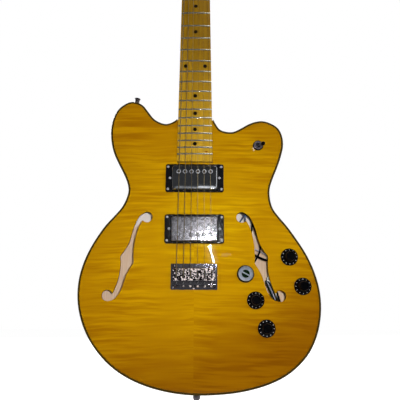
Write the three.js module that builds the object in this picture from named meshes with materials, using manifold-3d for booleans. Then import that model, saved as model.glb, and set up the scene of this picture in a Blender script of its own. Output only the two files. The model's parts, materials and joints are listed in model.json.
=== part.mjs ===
// Semi-hollow electric guitar: maple top with two f-holes, centre block, bolted maple neck, two covered
// pickups, five knobs, a selector switch and a fixed bridge with six saddles.
// Sizes are in millimetres. +Z runs up the neck, +X is the treble side and the front faces -Y.
// The origin is the middle of the nut line, in the plane of the top's face.

import * as THREE from "three";
import { mergeVertices } from "three/addons/utils/BufferGeometryUtils.js";
import Module from "manifold-3d";

const wasm = await Module();
wasm.setup();

// Driving dimensions

const scale_length = 648;
const fret_count = 22;
const string_count = 6;

// Between pieces that slide in, pass through or seat on a curve
const clearance = 0.3;
// Between glued wooden edges
const glue_line = 0.1;
// How far a cutting solid reaches past the face that it cuts
const overrun = 4;
// Sides of a small round pin, and of one that others turn on or that stands in a knob
const pin_sides = 6;
const shaft_sides = 8;

const body = {
  length: 450.7,
  width: 362.4,
  depth: 45,
  tail_below_bridge: 177.7,
  top: 4.5,
  back: 4,
  wall: 8,
  binding: 3,
  binding_round: 0.8,
  block_width: 100,
};

// Outline seen from the front, anticlockwise from the neck: shares of the width from the centre line,
// and of the length up from the tail
const outline_shares = [
  [0, 0.9634], [-0.0607, 0.9534], [-0.0842, 0.9312], [-0.1283, 0.9148], [-0.1821, 0.933],
  [-0.2379, 0.988], [-0.287, 0.9996], [-0.3446, 0.9694], [-0.3725, 0.8966], [-0.356, 0.8065],
  [-0.3027, 0.7187], [-0.285, 0.6694], [-0.3091, 0.6106], [-0.3733, 0.5483], [-0.4363, 0.4657],
  [-0.4738, 0.3765], [-0.4746, 0.2809], [-0.4294, 0.1795], [-0.3339, 0.089], [-0.2111, 0.0335],
  [-0.0552, 0.0038], [0.0955, 0.002], [0.237, 0.0186], [0.3684, 0.0595], [0.4663, 0.1329],
  [0.5146, 0.2332], [0.5163, 0.3361], [0.4735, 0.442], [0.3866, 0.5509], [0.335, 0.6066],
  [0.3237, 0.6738], [0.3579, 0.7502], [0.3893, 0.8391], [0.3698, 0.8995], [0.298, 0.9277],
  [0.2368, 0.9146], [0.1683, 0.8857], [0.1104, 0.8946], [0.08, 0.9334], [0.0552, 0.9556],
];
const outline_divisions = 2;

// The f-hole runs from an upper to a lower round lobe, further out. Its points are shares of the distance
// across and down from the upper lobe's centre to the lower one's
const f_hole = { upper_x: 73, above_bridge: 81.2, across: 56, down: 119.2, lobe_radius: 8.3 };
const f_hole_shares = {
  outer_upper: [[0.207, -0.011], [0.362, 0.144], [0.455, 0.312], [0.563, 0.417], [0.689, 0.503]],
  outer_lower: [[0.682, 0.648], [0.737, 0.815], [0.861, 0.973]],
  inner_lower: [[0.804, 1.042], [0.634, 0.924], [0.518, 0.748], [0.332, 0.585]],
  inner_upper: [[0.341, 0.438], [0.295, 0.262], [0.205, 0.115], [0.118, 0.042]],
};
// Where each lobe's arc starts and how far it turns, as shares of a full turn
const upper_lobe_shares = { start: 0.605, turn: 0.67 };
const lower_lobe_shares = { start: 0.065, turn: 0.68 };
const lobe_steps = 7;

// Knobs: shares of the width that the rim leaves to their pots' middles, and of the body's length
const knob_place_shares = [
  [0.4463, 0.439], [0.5036, 0.342], [0.2844, 0.296], [0.3316, 0.206], [0.2394, 0.382],
];
// Other places on the body, in the outline's shares
const switch_place_share = [0.278, 0.834];
const horn_button_share = [-0.272, 0.996];
const tail_button_share = [0.014, 0];
const jack_place_share = [0.439, 0.105];

const neck = {
  face: 7,
  nut_width: 42.6,
  end_width: 56.4,
  board_past_frets: 12.2,
  crown_radius: 245,
  edge: 4,
  depth_at_nut: 21,
  depth_at_heel: 23,
  heel_depth: 24,
  heel_length: 82,
  heel_sweep: 42,
};
// Exponents of the back's rounding: an oval at the shaft and nearly a rectangle at the heel
const shaft_roundness = 2.3;
const heel_roundness = 20;

const fret = { width: 2.6, crown: 1.2, height: 1.1, inset: 0.4, seat: 0.4 };
const nut = { thickness: 3.2, height: 2.5, seat: 3.5 };

const strings = {
  nut_spread: 35.2,
  bridge_spread: 52.6,
  over_board: 1.7,
  over_body: 11.2,
  diameters: [1.17, 0.91, 0.66, 0.43, 0.33, 0.25],
  ball_radius: 1.2,
  ball_length: 2.4,
  sides: 5,
};

const head = { length: 184, drop: 8, thickness: 14.5, spline_steps: 26 };
// Shares of the headstock's length: where the shaft has widened into it, how long the scoop behind the
// nut is, and how far the bass edge runs on past the end tuners
const head_root_share = 0.1413;
const head_scoop_share = 0.1359;
const edge_past_tuners_share = 0.0652;
// Treble side and tip of the headstock, as shares of its length
const head_side_shares = [
  [0.137, 0.165], [0.155, 0.24], [0.176, 0.4], [0.19, 0.56], [0.206, 0.72], [0.218, 0.86],
  [0.198, 0.955], [0.135, 1], [0.066, 0.98],
];
// First tuner and the step to the next, as shares of the headstock's length
const tuner_first_share = 0.2065;
const tuner_pitch_share = 0.13315;
// Rings where the shaft widens into the headstock: share of the way up to its root, bass and treble
// widths as shares of half the nut's width, and how square the ring is
const head_root_shares = [
  { up: 0.3, bass: 1.06, treble: 1.02, square: 0.1 },
  { up: 0.65, bass: 1.26, treble: 1.08, square: 0.4 },
  { up: 1, bass: 1.5, treble: 1.17, square: 1 },
];

const tuner = {
  edge_distance: 13,
  post_radius: 3,
  waist_radius: 2.4,
  post_height: 13,
  string_height: 6.5,
  waist_height: 4,
  bush_radius: 4.8,
  collar_radius: 6.6,
  collar: 2,
  housing_outer: 9,
  housing_inner: 7,
  housing_half: 8.5,
  housing_depth: 12,
  housing_round: 2.5,
  post_floor: 3,
  bush_segments: 8,
  post_segments: 8,
  shaft_radius: 2.4,
  shaft_seat: 5,
  shaft_length: 12,
  button_length: 17,
  button_half: 9,
  button_thickness: 6.5,
  button_rows: 5,
};

const neck_plate = { width: 51, length: 64, thickness: 2.2, round: 5, screw_x: 19, screw_z: 25.5 };
const neck_screw = { radius: 2, head_radius: 4.2, head: 1.6, length: 42 };

const pickup = {
  cover_width: 70,
  cover_length: 38,
  cover_round: 3.5,
  cover_edge: 1.2,
  cover_depth: 17,
  base: 1.6,
  ear_reach: 42,
  ear_half: 6.5,
  pole_pitch: 10,
  pole_offset: 9.5,
  pole_radius: 2.35,
  pole_height: 0.4,
  travel: 3,
};
// Height of each pickup's face and of its ring, and the side of its poles
const pickup_kinds = {
  neck: { face: 7, ring: 3.5, pole_side: 1 },
  bridge: { face: 7.4, ring: 5, pole_side: -1 },
};
// From the fretboard's end to the neck pickup's ring, and from the bridge line to the bridge pickup
const board_to_ring = 3.74;
const bridge_to_pickup = 62.3;
const pickup_ring = {
  width: 91,
  length: 45.4,
  round: 3.5,
  gap: 0.7,
  screw_head: 2,
  screw_rise: 0.7,
  height_screw_x: 38.6,
  height_screw_radius: 1.3,
  height_screw_length: 17,
};
const cavity = { margin: 1.5, ear_margin: 1.5, depth: 22, channel: 8, channel_front: 14 };

const bridge = {
  width: 70,
  ahead: 9.5,
  behind: 29.3,
  thickness: 2.2,
  round: 1.5,
  wall_at: 21,
  wall: 2.3,
  wall_height: 9.4,
  wall_margin: 3,
  string_hole: 1.6,
  string_exit: 3.6,
  screw_height: 6.6,
  screw_radius: 1,
  screw_head: 1.7,
  screw_head_length: 2.6,
  screw_reach: 12,
};
const saddle = {
  width: 10.1,
  ahead: 2,
  crest: 2.2,
  slot_end: 13,
  slot_width: 3.4,
  slot_past_nose: 1,
  length: 18,
  roof: 2.2,
  rear_height: 8.4,
  flange: 2.4,
  level: 3.6,
  drop: 9,
  nose: 5.5,
  post_radius: 1.4,
  post_x: 3.4,
  post_rise: 0.9,
};

// Four knobs have a wide skirt and a narrow fluted grip
const knob = {
  lift: 0.8,
  skirt_radius: 13,
  skirt_edge: 0.9,
  skirt_top_radius: 8.8,
  skirt_height: 4.6,
  grip_foot_radius: 7.7,
  grip_foot: 5.4,
  grip_radius: 6.9,
  disc_radius: 6,
  disc_height: 13.9,
  height: 14.5,
  nut_room_radius: 7.4,
  nut_room: 3.2,
  segments: 18,
};
const flute_share = 0.95;

// The fifth is a low dial with a dished face, and a bar to turn it by across its sunk middle
const dial = {
  skirt_height: 2.6,
  rim_radius: 11.6,
  rim_height: 6.8,
  face_radius: 11,
  face_height: 7.2,
  well_radius: 5.4,
  well_rim: 6.3,
  well_floor: 4.9,
  bar_length: 13,
  bar_width: 2.2,
  bar_turn_deg: 28,
  segments: 24,
};

const pot = {
  radius: 12,
  depth: 11,
  bush_radius: 4.7,
  nut_radius: 6.4,
  nut_height: 2.2,
  shaft_radius: 3,
  shaft_height: 12,
  dial_shaft_height: 3.9,
  lug_width: 2.2,
  lug_length: 6,
  lug_thickness: 0.8,
  lug_pitch: 4.5,
  lug_down: 3,
  segments: 8,
};

const selector = {
  turn_deg: 19,
  tilt_deg: 20,
  bush_radius: 5.8,
  bore_radius: 3.8,
  nut_radius: 8.3,
  nut_waist: 7.3,
  nut_height: 2.6,
  collar: 0.8,
  frame_length: 27,
  frame_width: 13,
  frame_plate: 1.6,
  leaf_inset: 2,
  leaf: 3,
  leaf_width: 9,
  leaf_length: 24,
  spacer: 5,
  pivot_depth: 1.5,
  ball_radius: 3.3,
  ball_band: 2.2,
  lever_radius: 1.6,
  lever_thin: 1.3,
  tail: 9,
  lever_length: 14,
  tip_radius: 3.2,
  tip_length: 8,
  segments: 12,
  lever_segments: 8,
};
// The tip's radii and how far up its length each one lies
const tip_shares = [[0.7, 0], [1, 0.45], [0.9, 0.85], [0.4, 1]];

const jack = {
  depth: 22.5,
  bush_radius: 4.7,
  bore_radius: 3.25,
  washer_radius: 8,
  washer: 0.8,
  nut_radius: 7.2,
  nut_height: 2.4,
  bush_rise: 0.6,
  barrel_radius: 9,
  barrel_length: 21,
  barrel_floor: 3,
  seat_gap: 1,
  segments: 12,
};

const button = {
  depth: 20,
  height: 16,
  radius: 5.2,
  foot: 1.4,
  waist_radius: 3.2,
  waist_low: 5.5,
  waist_high: 10,
  flange: 1.6,
  shank_radius: 1.9,
  shank_length: 7,
  segments: 12,
};

const wire = {
  thin: 1.1,
  lead: 1.3,
  thick: 1.8,
  capacitor: 4.5,
  straight: 10,
  block_inside: 10,
  block_outside: 6,
  sides: 4,
};
// Routes of the wires inside the body. A stop is a named end, or shares of the body's width from the
// centre line, of its length up from the tail and of the room between the pots' backs and the back plate
const wire_route_shares = {
  switch_to_bridge_pickup: [
    "switch", [0.268, 0.756, 0.86], [0.248, 0.678, 0.451], [0.221, 0.6006, 0.333], [0.193, 0.5629, 0.216],
    "bridge_pickup",
  ],
  neck_pickup: ["neck_pickup", [0.207, 0.696, 0.373], [0.248, 0.678, 0.451]],
  volume: [
    "bridge_lead", [0.193, 0.4875, 0.176], [0.259, 0.4502, 0.176], [0.3146, 0.432, 0.176], "pot_1",
  ],
  tone: [
    [0.221, 0.6006, 0.333], [0.248, 0.5451, 0.373], [0.279, 0.474, 0.333], [0.284, 0.43, 0.255],
    [0.243, 0.4076, 0.176], "pot_5", [0.226, 0.334, 0.14], "pot_3", [0.274, 0.248, 0.14], "pot_4",
  ],
  pots: [
    "pot_1", [0.43, 0.39, 0.137], "pot_2", [0.4, 0.279, 0.137], [0.338, 0.23, 0.137], "pot_4",
    [0.33, 0.183, 0.157], "jack",
  ],
  capacitor_leads: [
    [0.3146, 0.432, 0.176], [0.298, 0.39, 0.059], [0.3036, 0.3588, 0], [0.3394, 0.301, 0],
    [0.353, 0.2745, 0.098], [0.3615, 0.2546, 0.137],
  ],
  capacitor: [[0.3036, 0.3588, 0], [0.3394, 0.301, 0]],
};

// Shapes

// A closed three.js geometry as a solid that can be joined and cut
function solid(geometry) {
  const bare = new THREE.BufferGeometry();
  bare.setAttribute("position", geometry.attributes.position);
  bare.setIndex(geometry.index);
  const welded = mergeVertices(bare);
  const corners = welded.index.array;
  const triangles = [];
  for (let i = 0; i < corners.length; i += 3) {
    const [a, b, c] = corners.slice(i, i + 3);
    if (a !== b && b !== c && c !== a) triangles.push(a, b, c);
  }
  return new wasm.Manifold(new wasm.Mesh({
    numProp: 3,
    vertProperties: welded.attributes.position.array,
    triVerts: new Uint32Array(triangles),
  }));
}

// A solid as a geometry to show
function shown(shape) {
  const { vertProperties, triVerts } = shape.getMesh();
  const geometry = new THREE.BufferGeometry();
  geometry.setAttribute("position", new THREE.BufferAttribute(new Float32Array(vertProperties), 3));
  geometry.setIndex(new THREE.BufferAttribute(new Uint32Array(triVerts), 1));
  geometry.computeVertexNormals();
  return geometry;
}

const joined = (shapes) => shapes.reduce((whole, shape) => whole.add(shape));
const cutBy = (shape, cutters) => cutters.reduce((rest, cutter) => rest.subtract(cutter), shape);
const largestOf = (shapes) => shapes.reduce((best, shape) => (shape.volume() > best.volume() ? shape : best));

// A plate whose outline lies in the XZ plane, from y = front to y = back
function plateGeometry(shape, front, back, options = {}) {
  const geometry = new THREE.ExtrudeGeometry(shape, {
    depth: back - front,
    bevelEnabled: false,
    curveSegments: 2,
    ...options,
  });
  return geometry.rotateX(Math.PI / 2).translate(0, back, 0);
}

const plate = (shape, front, back) => solid(plateGeometry(shape, front, back));

// A plate with its front and back edges chamfered
function chamferedGeometry(shape, front, back, edge, curve_segments = 2) {
  return plateGeometry(shape, front + edge, back - edge, {
    bevelEnabled: true,
    bevelSize: edge,
    bevelThickness: edge,
    bevelOffset: -edge,
    bevelSegments: 1,
    curveSegments: curve_segments,
  });
}

// A bar whose profile lies in the ZY plane, from x = left to x = right
function barAcross(profile, left, right) {
  const geometry = new THREE.ExtrudeGeometry(profile, { depth: right - left, bevelEnabled: false });
  return solid(geometry.rotateY(-Math.PI / 2).translate(right, 0, 0));
}

function box(min, max) {
  const size = max.map((value, axis) => value - min[axis]);
  const middle = max.map((value, axis) => (value + min[axis]) / 2);
  return solid(new THREE.BoxGeometry(...size).translate(...middle));
}

// A round solid about the Y axis. Its profile is a list of radii and heights, where heights grow
// towards -Y, out of the guitar's front, and the list runs from the inner end to the outer one
function turnedGeometry(profile, segments) {
  const points = profile.map(([radius, height]) => new THREE.Vector2(radius, -height)).reverse();
  return new THREE.LatheGeometry(points, segments);
}

const turned = (profile, segments) => solid(turnedGeometry(profile, segments));

// A round pin along Y at x, z, from y = front to y = back
function pin(radius, x, z, front, back, segments = pin_sides) {
  const geometry = new THREE.CylinderGeometry(radius, radius, back - front, segments);
  return solid(geometry.translate(x, (front + back) / 2, z));
}

// Radius of a faceted hole whose flats keep the clearance to a round pin
const roomRadius = (radius, segments) => (radius + clearance) / Math.cos(Math.PI / segments);

function pinRoom(radius, x, z, front, back, segments = pin_sides) {
  return pin(roomRadius(radius, segments), x, z, front, back, segments);
}

function roundedRectangle(width, height, radius) {
  const x = width / 2;
  const y = height / 2;
  const shape = new THREE.Shape();
  shape.moveTo(-x + radius, -y);
  shape.lineTo(x - radius, -y);
  shape.absarc(x - radius, -y + radius, radius, -Math.PI / 2, 0);
  shape.lineTo(x, y - radius);
  shape.absarc(x - radius, y - radius, radius, 0, Math.PI / 2);
  shape.lineTo(-x + radius, y);
  shape.absarc(-x + radius, y - radius, radius, Math.PI / 2, Math.PI);
  shape.lineTo(-x, -y + radius);
  shape.absarc(-x + radius, -y + radius, radius, Math.PI, Math.PI * 1.5);
  return shape;
}

// Rings of points joined one to the next, each ring turning right-handed about the way it advances.
// The ends are capped, or with closed the last ring meets the first
function loft(rings, closed = false) {
  const count = rings[0].length;
  const positions = rings.flat().flatMap((point) => point.toArray());
  const index = [];
  const spans = closed ? rings.length : rings.length - 1;
  for (let i = 0; i < spans; i++) {
    const near = i * count;
    const far = ((i + 1) % rings.length) * count;
    for (let j = 0; j < count; j++) {
      const next = (j + 1) % count;
      index.push(near + j, near + next, far + next, near + j, far + next, far + j);
    }
  }
  const last = (rings.length - 1) * count;
  for (let j = 1; j < count - 1 && !closed; j++) {
    index.push(0, j + 1, j, last, last + j, last + j + 1);
  }
  const geometry = new THREE.BufferGeometry();
  geometry.setAttribute("position", new THREE.Float32BufferAttribute(positions, 3));
  geometry.setIndex(index);
  return solid(geometry);
}

// A straight-sided wire through stations that have a place and a radius
function stationWire(stations, sides) {
  const rings = stations.map(({ at, radius }, i) => {
    const before = stations[Math.max(i - 1, 0)].at;
    const after = stations[Math.min(i + 1, stations.length - 1)].at;
    const along = after.clone().sub(before).normalize();
    const side = new THREE.Vector3(0, 1, 0).addScaledVector(along, -along.y).normalize();
    const up = along.clone().cross(side);
    return Array.from({ length: sides }, (_, k) => {
      const angle = (2 * Math.PI * k) / sides;
      return at.clone()
        .addScaledVector(side, radius * Math.cos(angle))
        .addScaledVector(up, radius * Math.sin(angle));
    });
  });
  return loft(rings);
}

// Groups and pieces

const guitar = new THREE.Group();

function material(color, roughness, metalness) {
  return new THREE.MeshStandardMaterial({ color, roughness, metalness });
}

const finish = {
  amber_maple: material(0xc98f05, 0.25, 0),
  bare_wood: material(0xdcb893, 0.8, 0),
  dark_binding: material(0x2a1c08, 0.4, 0),
  neck_maple: material(0xd0a63c, 0.35, 0),
  bone: material(0xe8e0cc, 0.5, 0),
  chrome: material(0xc9cdd2, 0.12, 1),
  nickel_string: material(0x9a9384, 0.35, 1),
  black_plastic: material(0x0d0d10, 0.3, 0),
  zinc: material(0x9c9c98, 0.5, 1),
  wire_black: material(0x141416, 0.6, 0),
};

function addPiece(name, shape, look, parent = guitar) {
  const mesh = new THREE.Mesh(shown(shape), look);
  mesh.name = name;
  parent.add(mesh);
  return mesh;
}

function addGroup(x, z, turn = 0) {
  const group = new THREE.Group();
  group.position.set(x, 0, z);
  group.rotation.y = turn;
  guitar.add(group);
  return group;
}

// Places worked out from the sizes

const bridge_z = -scale_length;
const tail_z = bridge_z - body.tail_below_bridge;
const rim_front = body.top;
const rim_back = body.depth - body.back;

const onBody = ([across_share, up_share]) =>
  new THREE.Vector3(across_share * body.width, 0, tail_z + up_share * body.length);

const outline_curve = new THREE.CatmullRomCurve3(outline_shares.map(onBody), true, "centripetal");
const outline_points = outline_curve.getPoints(outline_shares.length * outline_divisions).slice(0, -1);
const outline_normals = outline_points.map((_, i) => {
  const before = outline_points.at(i - 1);
  const after = outline_points[(i + 1) % outline_points.length];
  return new THREE.Vector3(after.z - before.z, 0, before.x - after.x).normalize();
});

// The outline drawn in by a distance, as a shape in the XZ plane
function insetShape(distance) {
  return new THREE.Shape(outline_points.map((point, i) => {
    const drawn_in = point.clone().addScaledVector(outline_normals[i], -distance);
    return new THREE.Vector2(drawn_in.x, drawn_in.z);
  }));
}

// A ring that follows the outline: its section is a list of distances in from it and of depths
function outlineRing(section) {
  const rings = outline_points.map((point, i) => section.map(([distance, depth]) =>
    point.clone().addScaledVector(outline_normals[i], -distance).setY(depth)));
  return loft(rings, true);
}

// The point of the outline nearest to a place, turned so that local -Y points outwards
function edgePlace(share, depth) {
  const wanted = onBody(share);
  const facets = outline_points.map((from, i) => {
    const to = outline_points[(i + 1) % outline_points.length];
    const point = new THREE.Line3(from, to).closestPointToPoint(wanted, true, new THREE.Vector3());
    const normal = new THREE.Vector3(to.z - from.z, 0, from.x - to.x).normalize();
    return { point, normal, distance: point.distanceTo(wanted) };
  });
  const nearest = facets.reduce((best, facet) => (facet.distance < best.distance ? facet : best));
  const turn = new THREE.Quaternion().setFromUnitVectors(new THREE.Vector3(0, -1, 0), nearest.normal);
  return new THREE.Matrix4().compose(nearest.point.setY(depth), turn, new THREE.Vector3(1, 1, 1));
}

const fretZ = (number) => -scale_length * (1 - 2 ** (-number / 12));
const board_end = fretZ(fret_count) - neck.board_past_frets;
const heel_top = board_end + neck.heel_length;
const boardHalf = (z) =>
  THREE.MathUtils.mapLinear(z, 0, board_end, neck.nut_width / 2, neck.end_width / 2);
const crown = (x) => (x * x) / (2 * neck.crown_radius);
const head_face = head.drop - neck.face;
const head_back = head_face + head.thickness;

const head_root = head_root_share * head.length;
const head_scoop = head_scoop_share * head.length;
const edge_past_tuners = edge_past_tuners_share * head.length;
const tuner_first = tuner_first_share * head.length;
const tuner_pitch = tuner_pitch_share * head.length;

const pickup_places = {
  neck: { ...pickup_kinds.neck, z: board_end - board_to_ring - pickup_ring.length / 2 },
  bridge: { ...pickup_kinds.bridge, z: bridge_z + bridge_to_pickup },
};

// Strings from the bass side to the treble side
const string_lines = strings.diameters.map((diameter, i) => {
  const share = i / (string_count - 1) - 0.5;
  const nut_x = share * strings.nut_spread;
  const bridge_x = share * strings.bridge_spread;
  return {
    radius: diameter / 2,
    at_nut: new THREE.Vector3(nut_x, crown(nut_x) - neck.face - strings.over_board, 0),
    at_bridge: new THREE.Vector3(bridge_x, crown(bridge_x) - strings.over_body, bridge_z),
    post: new THREE.Vector2(nut_x - tuner.waist_radius - clearance - diameter / 2, tuner_first + i * tuner_pitch),
  };
});
const first_post = string_lines[0].post;
const last_post = string_lines.at(-1).post;
const tuner_line = last_post.clone().sub(first_post).normalize();
const tuner_turn = Math.atan2(tuner_line.x, tuner_line.y);

// Neck: shaft, heel and headstock

const crown_shares = [-1, -0.4, 0.4, 1];
const back_steps = 8;

// A ring round the neck: crowned board in front, rounded back behind
function neckRing(z, { bass, treble, back, roundness, front_shift = 0 }) {
  const middle = (treble - bass) / 2;
  const half = (treble + bass) / 2;
  const front = crown_shares.map((share) => {
    const x = middle + share * half;
    return new THREE.Vector3(x, crown(share * half) - neck.face - front_shift, z);
  });
  const edge = crown(half) - neck.face + neck.edge;
  const behind = Array.from({ length: back_steps + 1 }, (_, k) => {
    const angle = (Math.PI * k) / back_steps;
    const across = Math.sign(Math.cos(angle)) * Math.abs(Math.cos(angle)) ** (2 / roundness);
    const out = Math.abs(Math.sin(angle)) ** (2 / roundness);
    return new THREE.Vector3(middle + half * across, edge + (back - edge) * out, z);
  });
  return [...front, ...behind];
}

function shaftRing(z) {
  const half = boardHalf(z);
  const sweep = THREE.MathUtils.smoothstep(z, heel_top, heel_top + neck.heel_sweep);
  const along = THREE.MathUtils.clamp(z / heel_top, 0, 1);
  const shaft_depth = THREE.MathUtils.lerp(neck.depth_at_nut, neck.depth_at_heel, along);
  return neckRing(z, {
    bass: half,
    treble: half,
    back: THREE.MathUtils.lerp(neck.heel_depth, shaft_depth, sweep) - neck.face,
    roundness: shaft_roundness * (heel_roundness / shaft_roundness) ** (1 - sweep),
  });
}

// The heel's room in the body
function heelRoom() {
  const far_end = Math.max(heel_top + neck.heel_sweep, tail_z + body.length + overrun);
  const rings = [board_end - clearance, far_end].map((z) => {
    const half = boardHalf(z) + clearance;
    return neckRing(z, {
      bass: half,
      treble: half,
      back: neck.heel_depth - neck.face + clearance,
      roundness: heel_roundness,
      front_shift: overrun,
    });
  });
  return loft(rings);
}

function fretSolid(number) {
  const z = fretZ(number);
  const half = boardHalf(z) - fret.inset;
  const rings = crown_shares.map((share) => {
    const x = share * half;
    const face = crown(x) - neck.face;
    return [
      [face + fret.seat, -fret.width / 2],
      [face + fret.seat, fret.width / 2],
      [face - fret.height, fret.crown / 2],
      [face - fret.height, -fret.crown / 2],
    ].map(([y, along]) => new THREE.Vector3(x, y, z + along));
  });
  return loft(rings);
}

function headstock() {
  const root_z = head_root - glue_line;
  const treble_side = head_side_shares.map(([x, z]) => new THREE.Vector2(x * head.length, z * head.length));
  const half = neck.nut_width / 2;
  const root = head_root_shares.at(-1);
  const outward = new THREE.Vector2(-tuner_line.y, tuner_line.x).multiplyScalar(tuner.edge_distance);
  const edge_top = last_post.clone().addScaledVector(tuner_line, edge_past_tuners - clearance).add(outward);
  const edge_foot = first_post.clone().addScaledVector(tuner_line, -edge_past_tuners).add(outward);
  const side = new THREE.SplineCurve([new THREE.Vector2(half * root.treble, root_z), ...treble_side, edge_top]);
  const shape = new THREE.Shape([...side.getPoints(head.spline_steps), edge_foot, new THREE.Vector2(-half * root.bass, root_z)]);
  return plate(shape, -neck.face, head_back);
}

// Room in front of the headstock, with the ledge that the nut stands on
function headScoop() {
  const profile = new THREE.Shape();
  const reach = -neck.face - overrun;
  profile.moveTo(0, reach);
  profile.lineTo(head.length + overrun, reach);
  profile.lineTo(head.length + overrun, head_face);
  profile.lineTo(nut.thickness + head_scoop, head_face);
  profile.quadraticCurveTo(nut.thickness + head_scoop / 2, head_face, nut.thickness, nut.seat - neck.face);
  profile.lineTo(0, nut.seat - neck.face);
  return barAcross(profile, -head.length, head.length);
}

function neckSolid() {
  const rings = [shaftRing(board_end)];
  const sweep_steps = 6;
  for (let k = 0; k <= sweep_steps; k++) rings.push(shaftRing(heel_top + (k / sweep_steps) * neck.heel_sweep));
  rings.push(shaftRing(0));
  const half = neck.nut_width / 2;
  for (const { up, bass, treble, square } of head_root_shares) {
    rings.push(neckRing(up * head_root, {
      bass: half * bass,
      treble: half * treble,
      back: THREE.MathUtils.lerp(neck.depth_at_nut - neck.face, head_back, square),
      roundness: shaft_roundness * (heel_roundness / shaft_roundness) ** square,
    }));
  }
  const frets = Array.from({ length: fret_count }, (_, i) => fretSolid(i + 1));
  const bores = string_lines.map(({ post }) =>
    pinRoom(tuner.bush_radius, post.x, post.y, -neck.face - overrun, head_back + overrun, tuner.bush_segments));
  const screw_floor = body.depth + neck_plate.thickness - neck_screw.length - clearance;
  const screw_holes = neckScrewPlaces().map(([x, z]) => pinRoom(neck_screw.radius, x, z, screw_floor, body.depth));
  const wood = joined([loft(rings), headstock()]);
  return joined([cutBy(wood, [headScoop(), ...bores, ...screw_holes]), ...frets]);
}

function neckScrewPlaces() {
  const middle = board_end + neck.heel_length / 2;
  return [[-1, -1], [1, -1], [1, 1], [-1, 1]].map(([side, end]) =>
    [side * neck_plate.screw_x, middle + end * neck_plate.screw_z]);
}

addPiece("neck", neckSolid(), finish.neck_maple);

// Nut

function nutSolid() {
  const half = neck.nut_width / 2;
  const ring = (z) => [
    ...crown_shares.map((share) =>
      new THREE.Vector3(share * half, crown(share * half) - neck.face - nut.height, z)),
    new THREE.Vector3(half, nut.seat - neck.face, z),
    new THREE.Vector3(-half, nut.seat - neck.face, z),
  ];
  const slots = string_lines.map(({ radius, at_nut }) => {
    const side = radius + clearance;
    return box(
      [at_nut.x - side, -neck.face - overrun, -overrun],
      [at_nut.x + side, at_nut.y + side, nut.thickness + overrun],
    );
  });
  return cutBy(loft([ring(clearance), ring(nut.thickness)]), slots);
}

addPiece("nut", nutSolid(), finish.bone);

// Strings, from the tuner post over nut and saddle to the ball end behind the bridge's wall

const wall_z = bridge_z - bridge.wall_at - bridge.wall;

string_lines.forEach(({ radius, at_nut, at_bridge, post }, i) => {
  const at_post = new THREE.Vector3(
    post.x + tuner.waist_radius + clearance + radius, head_face - tuner.string_height, post.y);
  const direction = at_bridge.clone().sub(at_nut).normalize();
  const over_nut = at_nut.clone().addScaledVector(direction, nut.thickness / direction.z);
  const level_end = at_bridge.clone().addScaledVector(direction, -saddle.level / direction.z);
  const low = new THREE.Vector3(at_bridge.x, -bridge.string_exit, level_end.z - saddle.drop);
  const out = low.clone().setZ(wall_z - clearance);
  const ball = low.clone().setZ(out.z - strings.ball_length);
  const stations = [at_post, over_nut, level_end, low, out].map((at) => ({ at, radius }));
  stations.push({ at: out, radius: strings.ball_radius }, { at: ball, radius: strings.ball_radius });
  addPiece(`string_${i + 1}`, stationWire(stations, strings.sides), finish.nickel_string);
});

// Body wood

// The left f-hole's edge, and the right one's with mirror -1
function fHoleShape(mirror) {
  const place = ([across_share, down_share]) => new THREE.Vector2(
    -mirror * (f_hole.upper_x + across_share * f_hole.across),
    bridge_z + f_hole.above_bridge - down_share * f_hole.down,
  );
  const arc = (centre, { start, turn }) => Array.from({ length: lobe_steps + 1 }, (_, k) => {
    const angle = 2 * Math.PI * (start + (turn * k) / lobe_steps);
    return new THREE.Vector2(
      centre.x + mirror * f_hole.lobe_radius * Math.cos(angle),
      centre.y + f_hole.lobe_radius * Math.sin(angle),
    );
  });
  const upper = arc(place([0, 0]), upper_lobe_shares);
  const lower = arc(place([1, 1]), lower_lobe_shares);
  const smooth = (points) => new THREE.SplineCurve(points).getPoints((points.length - 1) * 2);
  const { outer_upper, outer_lower, inner_lower, inner_upper } = f_hole_shares;
  return new THREE.Shape([
    ...smooth([upper.at(-1), ...outer_upper.map(place)]).slice(1),
    ...smooth([place(outer_upper.at(-1)), ...outer_lower.map(place)]).slice(1, -1),
    ...lower,
    ...smooth([lower.at(-1), ...inner_lower.map(place)]).slice(1),
    ...smooth([place(inner_lower.at(-1)), ...inner_upper.map(place)]).slice(1, -1),
    ...upper,
  ]);
}

// Opening under a pickup ring: room for the cover, and for the ears on its sides
function pickupOpening(place) {
  const half_width = pickup.cover_width / 2 + cavity.margin;
  const half_length = pickup.cover_length / 2 + cavity.margin;
  const ear_x = pickup.ear_reach + cavity.ear_margin;
  const ear_z = pickup.ear_half + cavity.ear_margin;
  return new THREE.Shape([
    [half_width, half_length], [-half_width, half_length], [-half_width, ear_z], [-ear_x, ear_z],
    [-ear_x, -ear_z], [-half_width, -ear_z], [-half_width, -half_length], [half_width, -half_length],
    [half_width, -ear_z], [ear_x, -ear_z], [ear_x, ear_z], [half_width, ear_z],
  ].map(([x, z]) => new THREE.Vector2(x, place.z + z)));
}

const knob_span = body.width - 2 * (body.wall + pot.radius);
const knob_places = knob_place_shares.map(([across_share, up_share]) =>
  onBody([(across_share * knob_span) / body.width, up_share]));
const switch_place = onBody(switch_place_share);
const jack_place = edgePlace(jack_place_share, jack.depth);
const horn_place = edgePlace(horn_button_share, button.depth);
const tail_place = edgePlace(tail_button_share, button.depth);
const heel_room = heelRoom();

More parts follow.
